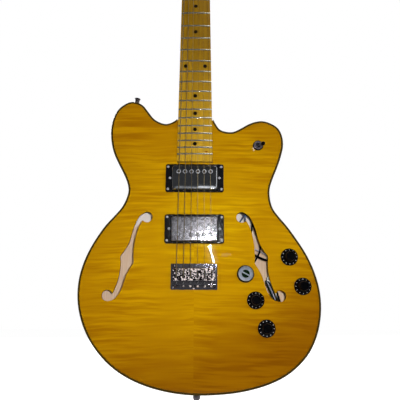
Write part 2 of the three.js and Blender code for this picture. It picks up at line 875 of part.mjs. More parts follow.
function topPlate() {
  const openings = [fHoleShape(1), fHoleShape(-1), ...Object.values(pickup_places).map(pickupOpening)]
    .map((opening) => plate(opening, -overrun, body.top + overrun));
  const pot_holes = knob_places.map(({ x, z }) =>
    pinRoom(pot.bush_radius, x, z, -overrun, body.top + overrun, pot.segments));
  const switch_hole = pinRoom(selector.bush_radius, switch_place.x, switch_place.z,
    -overrun, body.top + overrun, selector.segments);
  const whole = plate(insetShape(body.binding + glue_line), 0, body.top);
  return cutBy(whole, [heel_room, switch_hole, ...pot_holes, ...openings]);
}

const neck_screw_holes = neckScrewPlaces().map(([x, z]) =>
  pinRoom(neck_screw.radius, x, z, 0, body.depth + overrun));

const cavities = Object.values(pickup_places).map((place) => plate(pickupOpening(place), 0, cavity.depth));

// A round hole through the rim along an edge place
function rimHole(place, radius, segments) {
  const room = roomRadius(radius, segments);
  const inner = -body.wall - overrun;
  const geometry = turnedGeometry([[0, inner], [room, inner], [room, overrun], [0, overrun]], segments);
  return solid(geometry.applyMatrix4(place));
}

function rimSolid() {
  const ring = outlineRing([[0, rim_front], [0, rim_back], [body.wall, rim_back], [body.wall, rim_front]]);
  return cutBy(ring, [
    heel_room,
    rimHole(jack_place, jack.bush_radius, jack.segments),
    rimHole(horn_place, button.shank_radius, button.segments),
    rimHole(tail_place, button.shank_radius, button.segments),
    ...neck_screw_holes,
    ...cavities,
  ]);
}

function centreBlock() {
  const half = body.block_width / 2;
  const whole = plate(insetShape(body.wall + glue_line), rim_front, rim_back)
    .intersect(box([-half, 0, tail_z], [half, body.depth, 0]));
  const channels = Object.values(pickup_places).map(({ z }) => box(
    [0, cavity.channel_front, z - cavity.channel / 2],
    [half + overrun, cavity.channel_front + cavity.channel, z + cavity.channel / 2],
  ));
  return cutBy(whole, [heel_room, ...cavities, ...channels, ...neck_screw_holes]);
}

const round = body.binding_round;
const top_binding = outlineRing([
  [round, 0], [0, round], [0, rim_front], [body.binding, rim_front], [body.binding, 0],
]);

function backPlate() {
  const whole = solid(chamferedGeometry(insetShape(0), rim_front, body.depth, round));
  const above = box([-body.width, 0, tail_z - overrun], [body.width, rim_back, 0]);
  return cutBy(whole, [above, ...neck_screw_holes]);
}

addPiece("top_plate", topPlate(), finish.amber_maple);
addPiece("back_plate", backPlate(), finish.amber_maple);
addPiece("rim", rimSolid(), finish.amber_maple);
addPiece("centre_block", centreBlock(), finish.bare_wood);
// On a short body a scrap of binding comes loose between the neck and the pickup's opening
const binding = largestOf(cutBy(top_binding, [heel_room, ...cavities]).decompose());
addPiece("top_binding", binding, finish.dark_binding);

// Neck plate with its four screws

function neckPlate() {
  const middle = board_end + neck.heel_length / 2;
  const back = body.depth + neck_plate.thickness;
  const outline = roundedRectangle(neck_plate.width, neck_plate.length, neck_plate.round);
  const sheet = solid(plateGeometry(outline, body.depth, back).translate(0, 0, middle));
  const screws = neckScrewPlaces().flatMap(([x, z]) => [
    pin(neck_screw.radius, x, z, back - neck_screw.length, back),
    pin(neck_screw.head_radius, x, z, body.depth + neck_plate.thickness / 2, back + neck_screw.head),
  ]);
  return joined([sheet, ...screws]);
}

addPiece("neck_plate", neckPlate(), finish.chrome);

// Strap buttons and output jack, turned out of the rim

const button_profile = [
  [0, -button.shank_length],
  [button.shank_radius, -button.shank_length],
  [button.shank_radius, clearance],
  [button.radius, clearance],
  [button.radius, button.foot],
  [button.waist_radius, button.waist_low],
  [button.waist_radius, button.waist_high],
  [button.radius, button.height - button.flange],
  [button.radius, button.height],
  [0, button.height],
];

for (const [name, place] of [["strap_button_horn", horn_place], ["strap_button_tail", tail_place]]) {
  addPiece(name, turned(button_profile, button.segments), finish.chrome).applyMatrix4(place);
}

function outputJack() {
  const washer_top = clearance + jack.washer;
  const nut_top = washer_top + jack.nut_height;
  const rim_inside = -body.wall - jack.seat_gap;
  const barrel_end = rim_inside - jack.barrel_length;
  return turned([
    [0, barrel_end],
    [jack.barrel_radius, barrel_end],
    [jack.barrel_radius, rim_inside],
    [jack.bush_radius, rim_inside],
    [jack.bush_radius, clearance],
    [jack.washer_radius, clearance],
    [jack.washer_radius, washer_top],
    [jack.nut_radius, washer_top],
    [jack.nut_radius, nut_top],
    [jack.bush_radius, nut_top],
    [jack.bush_radius, nut_top + jack.bush_rise],
    [jack.bore_radius, nut_top + jack.bush_rise],
    [jack.bore_radius, barrel_end + jack.barrel_floor],
    [0, barrel_end + jack.barrel_floor],
  ], jack.segments);
}

addPiece("output_jack", outputJack(), finish.chrome).applyMatrix4(jack_place);

// Pickups and their rings

function pickupSolid(place) {
  const outline = roundedRectangle(pickup.cover_width, pickup.cover_length, pickup.cover_round);
  const base_front = pickup.cover_depth - place.face;
  const cover = solid(chamferedGeometry(outline, -place.face, base_front, pickup.cover_edge));
  const base = box([-pickup.ear_reach, base_front, -pickup.ear_half],
    [pickup.ear_reach, base_front + pickup.base, pickup.ear_half]);
  const poles = Array.from({ length: string_count }, (_, i) => {
    const x = (i - (string_count - 1) / 2) * pickup.pole_pitch;
    const z = place.pole_side * pickup.pole_offset;
    return pin(pickup.pole_radius, x, z, -place.face - pickup.pole_height, 0);
  });
  const screw_holes = [-1, 1].map((side) =>
    pinRoom(pickup_ring.height_screw_radius, side * pickup_ring.height_screw_x, 0, 0, body.depth));
  return cutBy(joined([cover, base, ...poles]), screw_holes);
}

function ringSolid(place) {
  const { width, length } = pickup_ring;
  const outline = roundedRectangle(width, length, pickup_ring.round);
  const gap = 2 * pickup_ring.gap;
  const inside = roundedRectangle(pickup.cover_width + gap, pickup.cover_length + gap, pickup.cover_round);
  outline.holes.push(inside);
  const screws = [-1, 1].flatMap((side) => [
    pin(pickup_ring.screw_head, side * pickup_ring.height_screw_x, 0,
      -place.ring - pickup_ring.screw_rise, -place.ring / 2),
    pin(pickup_ring.height_screw_radius, side * pickup_ring.height_screw_x, 0,
      -place.ring, pickup_ring.height_screw_length),
  ]);
  return joined([plate(outline, -place.ring, 0), ...screws]);
}

for (const [name, place] of Object.entries(pickup_places)) {
  const group = addGroup(0, place.z);
  addPiece(`pickup_ring_${name}`, ringSolid(place), finish.black_plastic, group);
  addPiece(`pickup_${name}`, pickupSolid(place), finish.chrome, group);
}

// Bridge

function bridgePlate() {
  const length = bridge.ahead + bridge.behind;
  const middle = bridge_z + (bridge.ahead - bridge.behind) / 2;
  const outline = roundedRectangle(bridge.width, length, bridge.round);
  const sheet = solid(plateGeometry(outline, -bridge.thickness, 0).translate(0, 0, middle));
  const half = bridge.width / 2 - bridge.wall_margin;
  const wall_front = bridge_z - bridge.wall_at;
  const wall = box([-half, -bridge.wall_height, wall_z], [half, -bridge.thickness / 2, wall_front]);
  const string_holes = string_lines.map(({ at_bridge: { x } }) => box(
    [x - bridge.string_hole / 2 - clearance, -bridge.string_exit - bridge.string_hole / 2, wall_z - overrun],
    [x + bridge.string_hole / 2 + clearance, -bridge.thickness, wall_front + overrun],
  ));
  const screws = string_lines.flatMap(({ at_bridge: { x } }) => [
    crossPin(bridge.screw_radius, x, -bridge.screw_height, wall_z, bridge_z - bridge.screw_reach),
    crossPin(bridge.screw_head, x, -bridge.screw_height, wall_z - bridge.screw_head_length, wall_z + bridge.wall / 2),
  ]);
  return joined([cutBy(joined([sheet, wall]), string_holes), ...screws]);
}

// A round pin along Z at x, y, from z = low to z = high
function crossPin(radius, x, y, low, high, segments = pin_sides) {
  const geometry = new THREE.CylinderGeometry(radius, radius, high - low, segments).rotateX(Math.PI / 2);
  return solid(geometry.translate(x, y, (low + high) / 2));
}

addPiece("bridge_plate", bridgePlate(), finish.chrome);

// A bent saddle: crest under the string, roof with a slot that the string drops through, and a flange
// at the rear for the intonation screw
function saddleSolid({ radius, at_bridge }) {
  const crest = at_bridge.y + radius + clearance;
  const rear = -saddle.rear_height;
  const floor = -bridge.thickness - clearance;
  const front_z = saddle.ahead;
  const rear_z = saddle.ahead - saddle.length;
  const profile = new THREE.Shape();
  profile.moveTo(front_z, -saddle.nose);
  profile.lineTo(front_z - saddle.roof, -saddle.nose);
  profile.lineTo(front_z - saddle.crest, crest + saddle.roof);
  profile.lineTo(rear_z + saddle.flange, rear + saddle.roof);
  profile.lineTo(rear_z + saddle.flange, floor);
  profile.lineTo(rear_z, floor);
  profile.lineTo(rear_z, rear);
  profile.lineTo(-saddle.crest, crest + saddle.roof / 4);
  profile.lineTo(0, crest);
  profile.lineTo(front_z - saddle.roof / 2, crest + saddle.roof / 4);
  profile.lineTo(front_z, crest + saddle.roof);
  const half = saddle.width / 2;
  const bent = barAcross(profile, -half, half);
  const slot = box([-saddle.slot_width / 2, crest - overrun, -saddle.slot_end],
    [saddle.slot_width / 2, saddle.slot_past_nose - saddle.nose, front_z - saddle.ahead - saddle.crest / 2]);
  const string_way = box([-saddle.slot_width / 2, -bridge.string_exit - bridge.string_hole / 2, rear_z - overrun],
    [saddle.slot_width / 2, overrun, rear_z + saddle.flange + overrun]);
  const bore = crossPin(roomRadius(bridge.screw_radius, pin_sides), 0, -bridge.screw_height,
    rear_z - overrun, rear_z + saddle.flange + overrun);
  const posts = [-1, 1].map((side) =>
    pin(saddle.post_radius, side * saddle.post_x, 0, crest + saddle.roof / 4 - saddle.post_rise, floor));
  return joined([cutBy(bent, [slot, string_way, bore]), ...posts]);
}

string_lines.forEach((line, i) => {
  const group = addGroup(line.at_bridge.x, bridge_z);
  addPiece(`saddle_${i + 1}`, saddleSolid(line), finish.chrome, group);
});

// Potentiometers and knobs

function potSolid(shaft_height) {
  const housing_top = -body.top;
  const housing_end = housing_top - pot.depth;
  const round_part = turned([
    [0, housing_end],
    [pot.radius, housing_end],
    [pot.radius, housing_top],
    [pot.bush_radius, housing_top],
    [pot.bush_radius, 0],
    [pot.nut_radius, 0],
    [pot.nut_radius, pot.nut_height],
    [pot.shaft_radius, pot.nut_height],
    [pot.shaft_radius, shaft_height],
    [0, shaft_height],
  ], pot.segments);
  const lugs = [-1, 0, 1].map((step) => box(
    [step * pot.lug_pitch - pot.lug_width / 2, body.top + pot.lug_down, -pot.radius - pot.lug_length],
    [step * pot.lug_pitch + pot.lug_width / 2, body.top + pot.lug_down + pot.lug_thickness, 0],
  ));
  return joined([round_part, ...lugs]);
}

function knobSolid() {
  const geometry = turnedGeometry([
    [0, knob.lift],
    [knob.skirt_radius, knob.lift],
    [knob.skirt_radius, knob.lift + knob.skirt_edge],
    [knob.skirt_top_radius, knob.skirt_height],
    [knob.grip_foot_radius, knob.grip_foot],
    [knob.grip_radius, knob.height],
    [knob.disc_radius, knob.height],
    [knob.disc_radius, knob.disc_height],
    [0, knob.disc_height],
  ], knob.segments);
  // Every second segment of the grip is drawn in as a flute
  const places = geometry.attributes.position;
  const step = (2 * Math.PI) / knob.segments;
  for (let i = 0; i < places.count; i++) {
    const [x, height, z] = [places.getX(i), -places.getY(i), places.getZ(i)];
    const on_grip = height >= knob.grip_foot && Math.hypot(x, z) > knob.disc_radius;
    if (on_grip && Math.round(Math.atan2(x, z) / step) % 2 !== 0) {
      places.setXYZ(i, x * flute_share, -height, z * flute_share);
    }
  }
  return cutBy(solid(geometry), potRooms(pot.shaft_height));
}

// Room under a knob for its pot's nut and shaft
function potRooms(shaft_height) {
  return [
    pin(knob.nut_room_radius, 0, 0, -knob.nut_room, overrun, shaft_sides),
    pinRoom(pot.shaft_radius, 0, 0, -shaft_height - clearance, overrun, shaft_sides),
  ];
}

function dialSolid() {
  const plain = turned([
    [0, knob.lift],
    [knob.skirt_radius, knob.lift],
    [knob.skirt_radius, dial.skirt_height],
    [dial.rim_radius, dial.rim_height],
    [dial.face_radius, dial.face_height],
    [dial.well_radius, dial.well_rim],
    [dial.well_radius, dial.well_floor],
    [0, dial.well_floor],
  ], dial.segments);
  const half_length = dial.bar_length / 2;
  const half_width = dial.bar_width / 2;
  const bar = box([-half_length, -dial.face_height, -half_width], [half_length, -dial.skirt_height, half_width])
    .rotate([0, dial.bar_turn_deg, 0]);
  return cutBy(joined([plain, bar]), potRooms(pot.dial_shaft_height));
}

knob_places.forEach(({ x, z }, i) => {
  const group = addGroup(x, z);
  const is_dial = i === knob_places.length - 1;
  addPiece(`pot_${i + 1}`, potSolid(is_dial ? pot.dial_shaft_height : pot.shaft_height), finish.zinc, group);
  addPiece(`knob_${i + 1}`, is_dial ? dialSolid() : knobSolid(), finish.black_plastic, group);
});

// Selector switch

function switchSolid() {
  const bush_foot = -body.top - selector.frame_plate;
  const bush = turned([
    [selector.bore_radius, bush_foot],
    [selector.bush_radius, bush_foot],
    [selector.bush_radius, 0],
    [selector.nut_radius, 0],
    [selector.nut_radius, selector.collar],
    [selector.nut_waist, selector.nut_height],
    [selector.bore_radius, selector.nut_height],
    [selector.bore_radius, bush_foot],
  ], selector.segments);
  const half_length = selector.frame_length / 2;
  const half_width = selector.frame_width / 2;
  const plate_back = -bush_foot;
  const frame = box([-half_length, body.top, -half_width], [half_length, plate_back, half_width]);
  const leaf_end = plate_back + selector.leaf_length;
  const leaves = [-1, 1].map((side) => {
    const outer = side * (half_length - selector.leaf_inset);
    const inner = outer - side * selector.leaf;
    return box([Math.min(outer, inner), body.top, -selector.leaf_width / 2],
      [Math.max(outer, inner), leaf_end, selector.leaf_width / 2]);
  });
  const spacer = box([-half_length, leaf_end - selector.spacer, -selector.leaf_width / 2],
    [half_length, leaf_end, selector.leaf_width / 2]);
  const bore = pin(selector.bore_radius, 0, 0, -overrun, plate_back + overrun, selector.segments);
  return joined([cutBy(frame, [bore]), bush, ...leaves, spacer]);
}

function leverSolid() {
  const { ball_radius: ball, lever_length: length, tip_radius: tip } = selector;
  return turned([
    [0, -selector.tail],
    [selector.lever_radius, -selector.tail],
    [selector.lever_radius, -ball],
    [ball, -selector.ball_band / 2],
    [ball, selector.ball_band / 2],
    [selector.lever_radius, ball],
    [selector.lever_thin, length],
    ...tip_shares.map(([radius, up]) => [radius * tip, length + up * selector.tip_length]),
    [0, length + selector.tip_length],
  ], selector.lever_segments);
}

const switch_group = addGroup(switch_place.x, switch_place.z, THREE.MathUtils.degToRad(selector.turn_deg));
addPiece("toggle_switch", switchSolid(), finish.chrome, switch_group);
const lever = addPiece("toggle_lever", leverSolid(), finish.chrome, switch_group);
lever.position.y = selector.pivot_depth;
lever.rotation.z = THREE.MathUtils.degToRad(selector.tilt_deg);

// Wires from the switch and the pickups to the pots and the jack, with the tone capacitor

function wiringHarness() {
  const pots_back = body.top + pot.depth;
  const inBody = ([across_share, up_share, depth_share]) =>
    onBody([across_share, up_share]).setY(THREE.MathUtils.lerp(pots_back, rim_back, depth_share));
  const channel_y = cavity.channel_front + cavity.channel / 2;
  const intoBlock = ({ z }) => [wire.block_outside, -wire.block_inside].map((out) =>
    new THREE.Vector3(body.block_width / 2 + out, channel_y, z));
  const barrel_end = body.wall + jack.seat_gap + jack.barrel_length + clearance;
  const switch_back = body.top + selector.frame_plate + selector.leaf_length;
  const ends = {
    switch: [switch_place.clone().setY(switch_back + wire.lead + clearance)],
    neck_pickup: intoBlock(pickup_places.neck).reverse(),
    bridge_pickup: intoBlock(pickup_places.bridge),
    bridge_lead: intoBlock(pickup_places.bridge).slice(0, 1),
    jack: [barrel_end + wire.straight, barrel_end].map((depth) =>
      new THREE.Vector3(0, depth, 0).applyMatrix4(jack_place)),
  };
  knob_places.forEach((place, i) => {
    ends[`pot_${i + 1}`] = [place.clone().setY(pots_back + wire.thick + clearance)];
  });
  const along = (route, radius) =>
    stationWire(route.flatMap((stop) => ends[stop] ?? inBody(stop)).map((at) => ({ at, radius })), wire.sides);
  const routes = wire_route_shares;
  return joined([
    along(routes.switch_to_bridge_pickup, wire.lead),
    along(routes.neck_pickup, wire.lead),
    along(routes.volume, wire.thick),
    along(routes.tone, wire.thin),
    along(routes.pots, wire.thin),
    along(routes.capacitor_leads, wire.thin),
    along(routes.capacitor, wire.capacitor),
  ]);
}

addPiece("wiring_harness", wiringHarness(), finish.wire_black);

// Tuners, in a line along the bass edge of the headstock

function tunerHousing() {
  const length = tuner.housing_outer + tuner.housing_inner;
  const outline = roundedRectangle(length, 2 * tuner.housing_half, tuner.housing_round);
  const case_back = head_back + tuner.housing_depth;
  const bore_end = case_back - tuner.post_floor;
  const middle = (tuner.housing_inner - tuner.housing_outer) / 2;
  const edge = tuner.housing_round / 2;
  const whole = solid(chamferedGeometry(outline, 0, case_back, edge, 1).translate(middle, 0, 0));
  const above = box([-length, -overrun, -length], [length, head_back, length]);
  const bush = pin(tuner.bush_radius, 0, 0, head_face - tuner.collar, head_back + edge, tuner.bush_segments);
  const collar = pin(tuner.collar_radius, 0, 0, head_face - tuner.collar, head_face);
  const post_bore = pinRoom(tuner.post_radius, 0, 0, head_face - overrun, bore_end, tuner.post_segments);
  const shaft_bore = sidePin(roomRadius(tuner.shaft_radius, tuner.post_segments),
    -tuner.housing_outer - overrun, -tuner.housing_outer + tuner.shaft_seat + clearance);
  return cutBy(joined([whole.subtract(above), bush, collar]), [post_bore, shaft_bore]);
}

const shaft_y = head_back + tuner.housing_depth / 2;

// A round pin along X at the height of the tuner's button shaft
function sidePin(radius, left, right) {
  const geometry = new THREE.CylinderGeometry(radius, radius, right - left, tuner.post_segments)
    .rotateZ(Math.PI / 2);
  return solid(geometry.translate((left + right) / 2, shaft_y, 0));
}

function tunerPost() {
  const foot = -head_back - tuner.housing_depth + tuner.post_floor + clearance;
  const face = -head_face;
  const waist = face + tuner.string_height;
  return turned([
    [0, foot],
    [tuner.post_radius, foot],
    [tuner.post_radius, waist - tuner.waist_height / 2],
    [tuner.waist_radius, waist - tuner.waist_height / 4],
    [tuner.waist_radius, waist + tuner.waist_height / 4],
    [tuner.post_radius, waist + tuner.waist_height / 2],
    [tuner.post_radius, face + tuner.post_height],
    [0, face + tuner.post_height],
  ], tuner.post_segments);
}

// An oval button on its shaft, along local -X
function tunerButton() {
  const shaft_end = tuner.shaft_length + tuner.housing_outer;
  const shaft = sidePin(tuner.shaft_radius, -shaft_end - overrun, -tuner.housing_outer + tuner.shaft_seat);
  const paddle = new THREE.SphereGeometry(1, tuner.post_segments, tuner.button_rows)
    .rotateZ(Math.PI / 2)
    .scale(tuner.button_length / 2, tuner.button_thickness / 2, tuner.button_half)
    .translate(-shaft_end - tuner.button_length / 2, shaft_y, 0);
  return joined([shaft, solid(paddle)]);
}

string_lines.forEach(({ post }, i) => {
  const group = addGroup(post.x, post.y, tuner_turn);
  addPiece(`tuner_housing_${i + 1}`, tunerHousing(), finish.chrome, group);
  addPiece(`tuner_post_${i + 1}`, tunerPost(), finish.chrome, group);
  addPiece(`tuner_button_${i + 1}`, tunerButton(), finish.chrome, group);
});

export default guitar;
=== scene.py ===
"""A semi-hollow electric guitar with a flamed maple top, dressed over its CAD frame in a pale studio."""

import json
from math import atan, atan2, copysign, cos, hypot, pi, radians, sin

import bmesh
import bpy
from mathutils import Matrix, Vector
from mathutils.geometry import interpolate_bezier


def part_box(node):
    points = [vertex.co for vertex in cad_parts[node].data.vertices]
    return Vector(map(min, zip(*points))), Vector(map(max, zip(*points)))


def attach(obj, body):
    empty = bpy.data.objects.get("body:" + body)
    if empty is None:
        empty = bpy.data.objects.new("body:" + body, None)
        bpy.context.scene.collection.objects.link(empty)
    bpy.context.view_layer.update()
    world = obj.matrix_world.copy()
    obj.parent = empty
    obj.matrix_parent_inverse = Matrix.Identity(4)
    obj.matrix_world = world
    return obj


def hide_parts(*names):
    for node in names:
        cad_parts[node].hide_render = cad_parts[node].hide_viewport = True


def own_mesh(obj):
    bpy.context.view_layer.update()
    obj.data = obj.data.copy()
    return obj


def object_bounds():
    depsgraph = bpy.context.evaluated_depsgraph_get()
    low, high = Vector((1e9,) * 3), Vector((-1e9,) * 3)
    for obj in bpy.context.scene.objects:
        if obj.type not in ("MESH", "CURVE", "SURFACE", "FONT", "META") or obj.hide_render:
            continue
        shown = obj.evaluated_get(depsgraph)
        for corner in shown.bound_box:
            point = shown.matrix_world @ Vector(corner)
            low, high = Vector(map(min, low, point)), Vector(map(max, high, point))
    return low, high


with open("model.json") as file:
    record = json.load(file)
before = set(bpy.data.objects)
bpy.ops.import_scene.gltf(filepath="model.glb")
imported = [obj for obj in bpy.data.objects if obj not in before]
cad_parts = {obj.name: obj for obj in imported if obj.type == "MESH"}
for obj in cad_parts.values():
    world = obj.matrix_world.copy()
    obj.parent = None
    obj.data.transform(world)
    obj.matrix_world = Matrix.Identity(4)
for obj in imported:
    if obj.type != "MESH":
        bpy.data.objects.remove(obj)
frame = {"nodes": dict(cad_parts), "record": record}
cad_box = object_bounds()

MM = 0.001
FULL_TURN = 2 * pi
LENS_Y = -0.756
CAMERA_PLACE = (0.0085, LENS_Y, -0.721)
CAMERA_LIFT, CAMERA_ROLL = 13.5, 0.25
scene = bpy.context.scene
scene.view_settings.view_transform = "Standard"


def at(x, y, z):
    return Matrix.Translation((x, y, z))


def about(axis, angle):
    return Matrix.Rotation(angle, 4, axis)


def looking(place, way, roll):
    """How a camera or a lamp stands that looks along a direction, rolled by an angle in degrees."""
    return at(*place) @ way.to_track_quat("-Z", "Y").to_matrix().to_4x4() @ about("Z", radians(roll))


def shown(name, data):
    """A new object in the scene."""
    made = bpy.data.objects.new(name, data)
    scene.collection.objects.link(made)
    return made


# Camera

def aim_camera():
    """Stands a little right of the strings, below the bridge, and looks slightly up at the body."""
    camera = shown("camera", bpy.data.cameras.new("camera"))
    camera.data.lens = 45
    camera.data.sensor_width = 36
    lift = radians(CAMERA_LIFT)
    camera.matrix_world = looking(CAMERA_PLACE, Vector((0, cos(lift), sin(lift))), CAMERA_ROLL)
    scene.camera = camera


aim_camera()


# Shader maths

def sum_of(operation):
    return lambda self, other: self.maths(operation, other)


class Value:
    """A shader socket that takes part in Python sums."""

    def __init__(self, nodes, socket):
        self.nodes = nodes
        self.socket = socket

    def maths(self, operation, *others):
        values = dict(enumerate((self, *others)))
        return self.nodes.node("Math", {"operation": operation}, values)

    __add__ = __radd__ = sum_of("ADD")
    __mul__ = __rmul__ = sum_of("MULTIPLY")
    __sub__ = sum_of("SUBTRACT")

    def __rsub__(self, other):
        return self.nodes.node("Math", {"operation": "SUBTRACT"}, {0: other, 1: self})

    def rise(self, low, high):
        """0 at low, 1 at high and smooth between."""
        return self.nodes.node("MapRange", {"interpolation_type": "SMOOTHSTEP"}, {0: self, 1: low, 2: high})


class Nodes:
    """The nodes of a material or of the world."""

    def __init__(self, owner):
        owner.use_nodes = True
        self.tree = owner.node_tree

    def node(self, kind, settings=None, inputs=None, output=0):
        made = self.tree.nodes.new("ShaderNode" + kind)
        for name, value in (settings or {}).items():
            setattr(made, name, value)
        for name, value in (inputs or {}).items():
            self.feed(made.inputs[name], value)
        return Value(self, made.outputs[output]) if made.outputs else None

    def feed(self, socket, value):
        if isinstance(value, Value):
            self.tree.links.new(value.socket, socket)
        elif isinstance(value, tuple) and socket.type == "RGBA":
            socket.default_value = (*value, 1)
        else:
            socket.default_value = value

    def axis(self, place, name):
        return self.node("SeparateXYZ", inputs={0: place}, output=name)

    def ray(self, kind):
        return self.node("LightPath", output=f"Is {kind} Ray")


class Finish(Nodes):
    """A material of the guitar, with its nodes."""

    def __init__(self, name, slot, **sockets):
        self.slot = slot
        self.material = bpy.data.materials.new(name)
        super().__init__(self.material)
        self.shader = self.tree.nodes["Principled BSDF"]
        self.paint(**sockets)
        self.place = self.node("TexCoord", output="Object")
        self.x, self.y, self.z = (self.axis(self.place, axis) for axis in "XYZ")

    def paint(self, **sockets):
        for name, value in sockets.items():
            self.feed(self.shader.inputs[name.replace("_", " ")], value)
        return self

    def mix(self, share, one, other, blend="MIX"):
        return self.node("Mix", {"data_type": "RGBA", "blend_type": blend}, {0: share, 6: one, 7: other}, 2)

    def darker(self, share, tone, by):
        return self.mix(share, tone, by, "MULTIPLY")

    def noise(self, scale, detail=2, vector=None, roughness=0.5):
        inputs = {"Vector": vector or self.place, "Scale": scale, "Detail": detail, "Roughness": roughness}
        return self.node("TexNoise", inputs=inputs)

    def noise_at(self, x, y, z, detail=2, roughness=0.5):
        return self.noise(1, detail, self.node("CombineXYZ", inputs={0: x, 1: y, 2: z}), roughness)

    def streaks(self, x, y, z, detail=2, roughness=0.5):
        """Noise with its own scale along each axis."""
        return self.noise_at(self.x * x, self.y * y, self.z * z, detail, roughness)

    def bump(self, height, distance, strength=1):
        return self.node("Bump", inputs={"Height": height, "Distance": distance, "Strength": strength})


def rgb(red, green, blue):
    """A screen colour, 0 to 255, as the linear one that a shader takes."""
    def linear(value):
        value /= 255
        return value / 12.92 if value <= 0.04045 else ((value + 0.055) / 1.055) ** 2.4
    return tuple(linear(value) for value in (red, green, blue))


# Woods

def flamed_top():
    """Amber flamed maple in two mirrored halves: stripes across, fine pores along, with painted shade darkening it
    towards the tail and away from the bridge pickup, and a painted pool of light about that pickup.
    """
    wood = Finish("flamed_maple_top", "top_maple", Coat_Weight=0.6, Coat_Roughness=0.02, Specular_IOR_Level=0)
    right = wood.x.rise(-0.00015, 0.00015)
    across = wood.x.maths("ABSOLUTE")
    bend = wood.noise_at(across * 11, right * 3, wood.z * 10)
    rows = wood.z + bend * 0.011 + across * 0.03
    fine = wood.noise_at(across * 15, right * 0.7, rows * 250, 3)
    broad = wood.noise_at(across * 9, right * 2, rows * 90)
    flame = (fine * 0.6 + broad * 0.4).rise(0.36, 0.64)
    strength = wood.noise_at(across * 13, right * 5, wood.z * 14, 1).rise(0.3, 0.65)
    pores = wood.streaks(1400, 0, 60, 4, 0.6).rise(0.4, 0.75)
    gold = wood.mix(flame, rgb(172, 118, 2), rgb(207, 158, 4))
    base = wood.mix(strength * 0.7 + 0.3, rgb(188, 137, 3), gold)
    # Painted shade: darker towards the tail, more so on the right, standing in for the light falling off there.
    low = (across * 0.25 + wood.x * 0.33 - wood.z + right * 0.012).rise(0.7, 0.86)
    tail = wood.darker(low, base, (0.65, 0.515, 0.53))
    horns = wood.z.rise(-0.5, -0.39) * (1 - right * 0.7)
    warm = wood.darker(horns, tail, (1, 0.95, 0.7))
    # Painted shade growing away from the bridge pickup, and a painted pool of light about it.
    aside, along = wood.x - 0.02, wood.z + 0.585
    apart = aside * aside + along * along
    painted_falloff_shade = wood.darker(apart.rise(0.006, 0.045), warm, (0.85, 0.78, 0.73))
    lit = wood.darker(apart.rise(0.0085, 0.0005), painted_falloff_shade, (1.17, 1.28, 1.4))
    return wood.paint(Base_Color=wood.darker(pores * 0.08, lit, (0.7, 0.6, 0.5)),
                      Roughness=flame * 0.05 + 0.35,
                      Normal=wood.bump(pores, 0.00001, 0.3))


def plain_sides():
    """The same amber finish on plainer wood, for the sides and the back."""
    wood = Finish("amber_maple_sides", "side_maple", Coat_Weight=0.6, Coat_Roughness=0.04, Specular_IOR_Level=0)
    bent = wood.z + wood.noise(7) * 0.03
    flame = wood.noise_at(wood.x * 16, wood.y * 20, bent * 170, 3).rise(0.35, 0.7)
    grain = wood.streaks(260, 260, 9, 4, 0.6).rise(0.35, 0.7)
    base = wood.mix(flame * 0.6 + 0.2, rgb(158, 102, 3), rgb(192, 138, 6))
    return wood.paint(Base_Color=wood.darker(grain * 0.35, base, (0.72, 0.62, 0.5)),
                      Roughness=grain * 0.08 + 0.28,
                      Normal=wood.bump(grain, 0.00003, 0.4))


def bare_maple():
    """Unfinished maple inside the body, slightly pink with fine grain, with painted light making it paler above the
    middle of the f-holes, standing in for the light through their upper lobes.
    """
    wood = Finish("bare_maple", "bare_wood", Specular_IOR_Level=0.1)
    grain = wood.streaks(500, 120, 16, 5, 0.6)
    cloud = wood.noise(22, 3)
    plank = wood.mix(grain.rise(0.3, 0.7), rgb(228, 193, 161), rgb(244, 217, 190))
    # Painted light: paler by the f-holes' upper lobes.
    by_right_lobe = wood.z.rise(-0.6, -0.555) * wood.x.rise(0.05, 0.06)
    painted_lobe_light = by_right_lobe.maths("MAXIMUM", wood.z.rise(-0.579, -0.568))
    base = wood.mix(painted_lobe_light, plank, rgb(253, 243, 236))
    return wood.paint(Base_Color=wood.darker(cloud.rise(0.4, 0.8) * 0.4, base, (0.86, 0.8, 0.76)),
                      Roughness=grain * 0.2 + 0.65,
                      Normal=wood.bump(grain, 0.00006, 0.5))


def neck_wood():
    """Satin amber maple of the neck and its board, with long grain, darker flecks and one small knot."""
    wood = Finish("neck_maple", "neck_maple", Specular_IOR_Level=0.1)
    grain = wood.streaks(420, 300, 8, 5, 0.62)
    flecks = wood.streaks(900, 500, 120).rise(0.6, 0.75)
    curl = wood.streaks(30, 30, 95).rise(0.35, 0.7)
    base = wood.mix(grain.rise(0.3, 0.7), rgb(176, 135, 24), rgb(206, 164, 42))
    curled = wood.darker(curl * 0.3, base, (0.86, 0.78, 0.6))
    flecked = wood.darker(flecks * 0.3, curled, (0.7, 0.55, 0.35))
    aside, along = wood.x - 0.0183, (wood.z + 0.4625) * 2
    knot = (aside * aside + along * along).rise(0.000007, 0.000001)
    marked = wood.darker(knot, flecked, (0.5, 0.22, 0.25))
    # Darker towards the headstock.
    return wood.paint(Base_Color=wood.darker(wood.z.rise(-0.48, -0.22), marked, (0.56, 0.5, 0.28)),
                      Roughness=grain * 0.15 + 0.32,
                      Normal=wood.bump(grain, 0.00003, 0.4))


# Metals, plastics and the rest

def metal(name, slot, tone, roughness, wear=0.5, scale=900, ripple=0.00001, dullest=0.72, shine=1):
    """Plated metal with faint clouding, ripples and hairline scratches, and hazy where its shine is below 1."""
    tone = rgb(*tone)
    plating = Finish(name, slot, Metallic=shine)
    cloud = plating.noise(scale / 12, 3)
    marks = plating.streaks(2700, 900, 150, 3, 0.7).rise(0.55, 0.8)
    dull = tuple(value * dullest for value in tone)
    return plating.paint(Base_Color=plating.mix(cloud.rise(0.35, 0.75) * wear, tone, dull),
                         Roughness=cloud * (roughness * wear) + marks * (0.12 * wear) + roughness * 0.75,
                         Normal=plating.bump(cloud, ripple))


STRING_GAP = 10.52


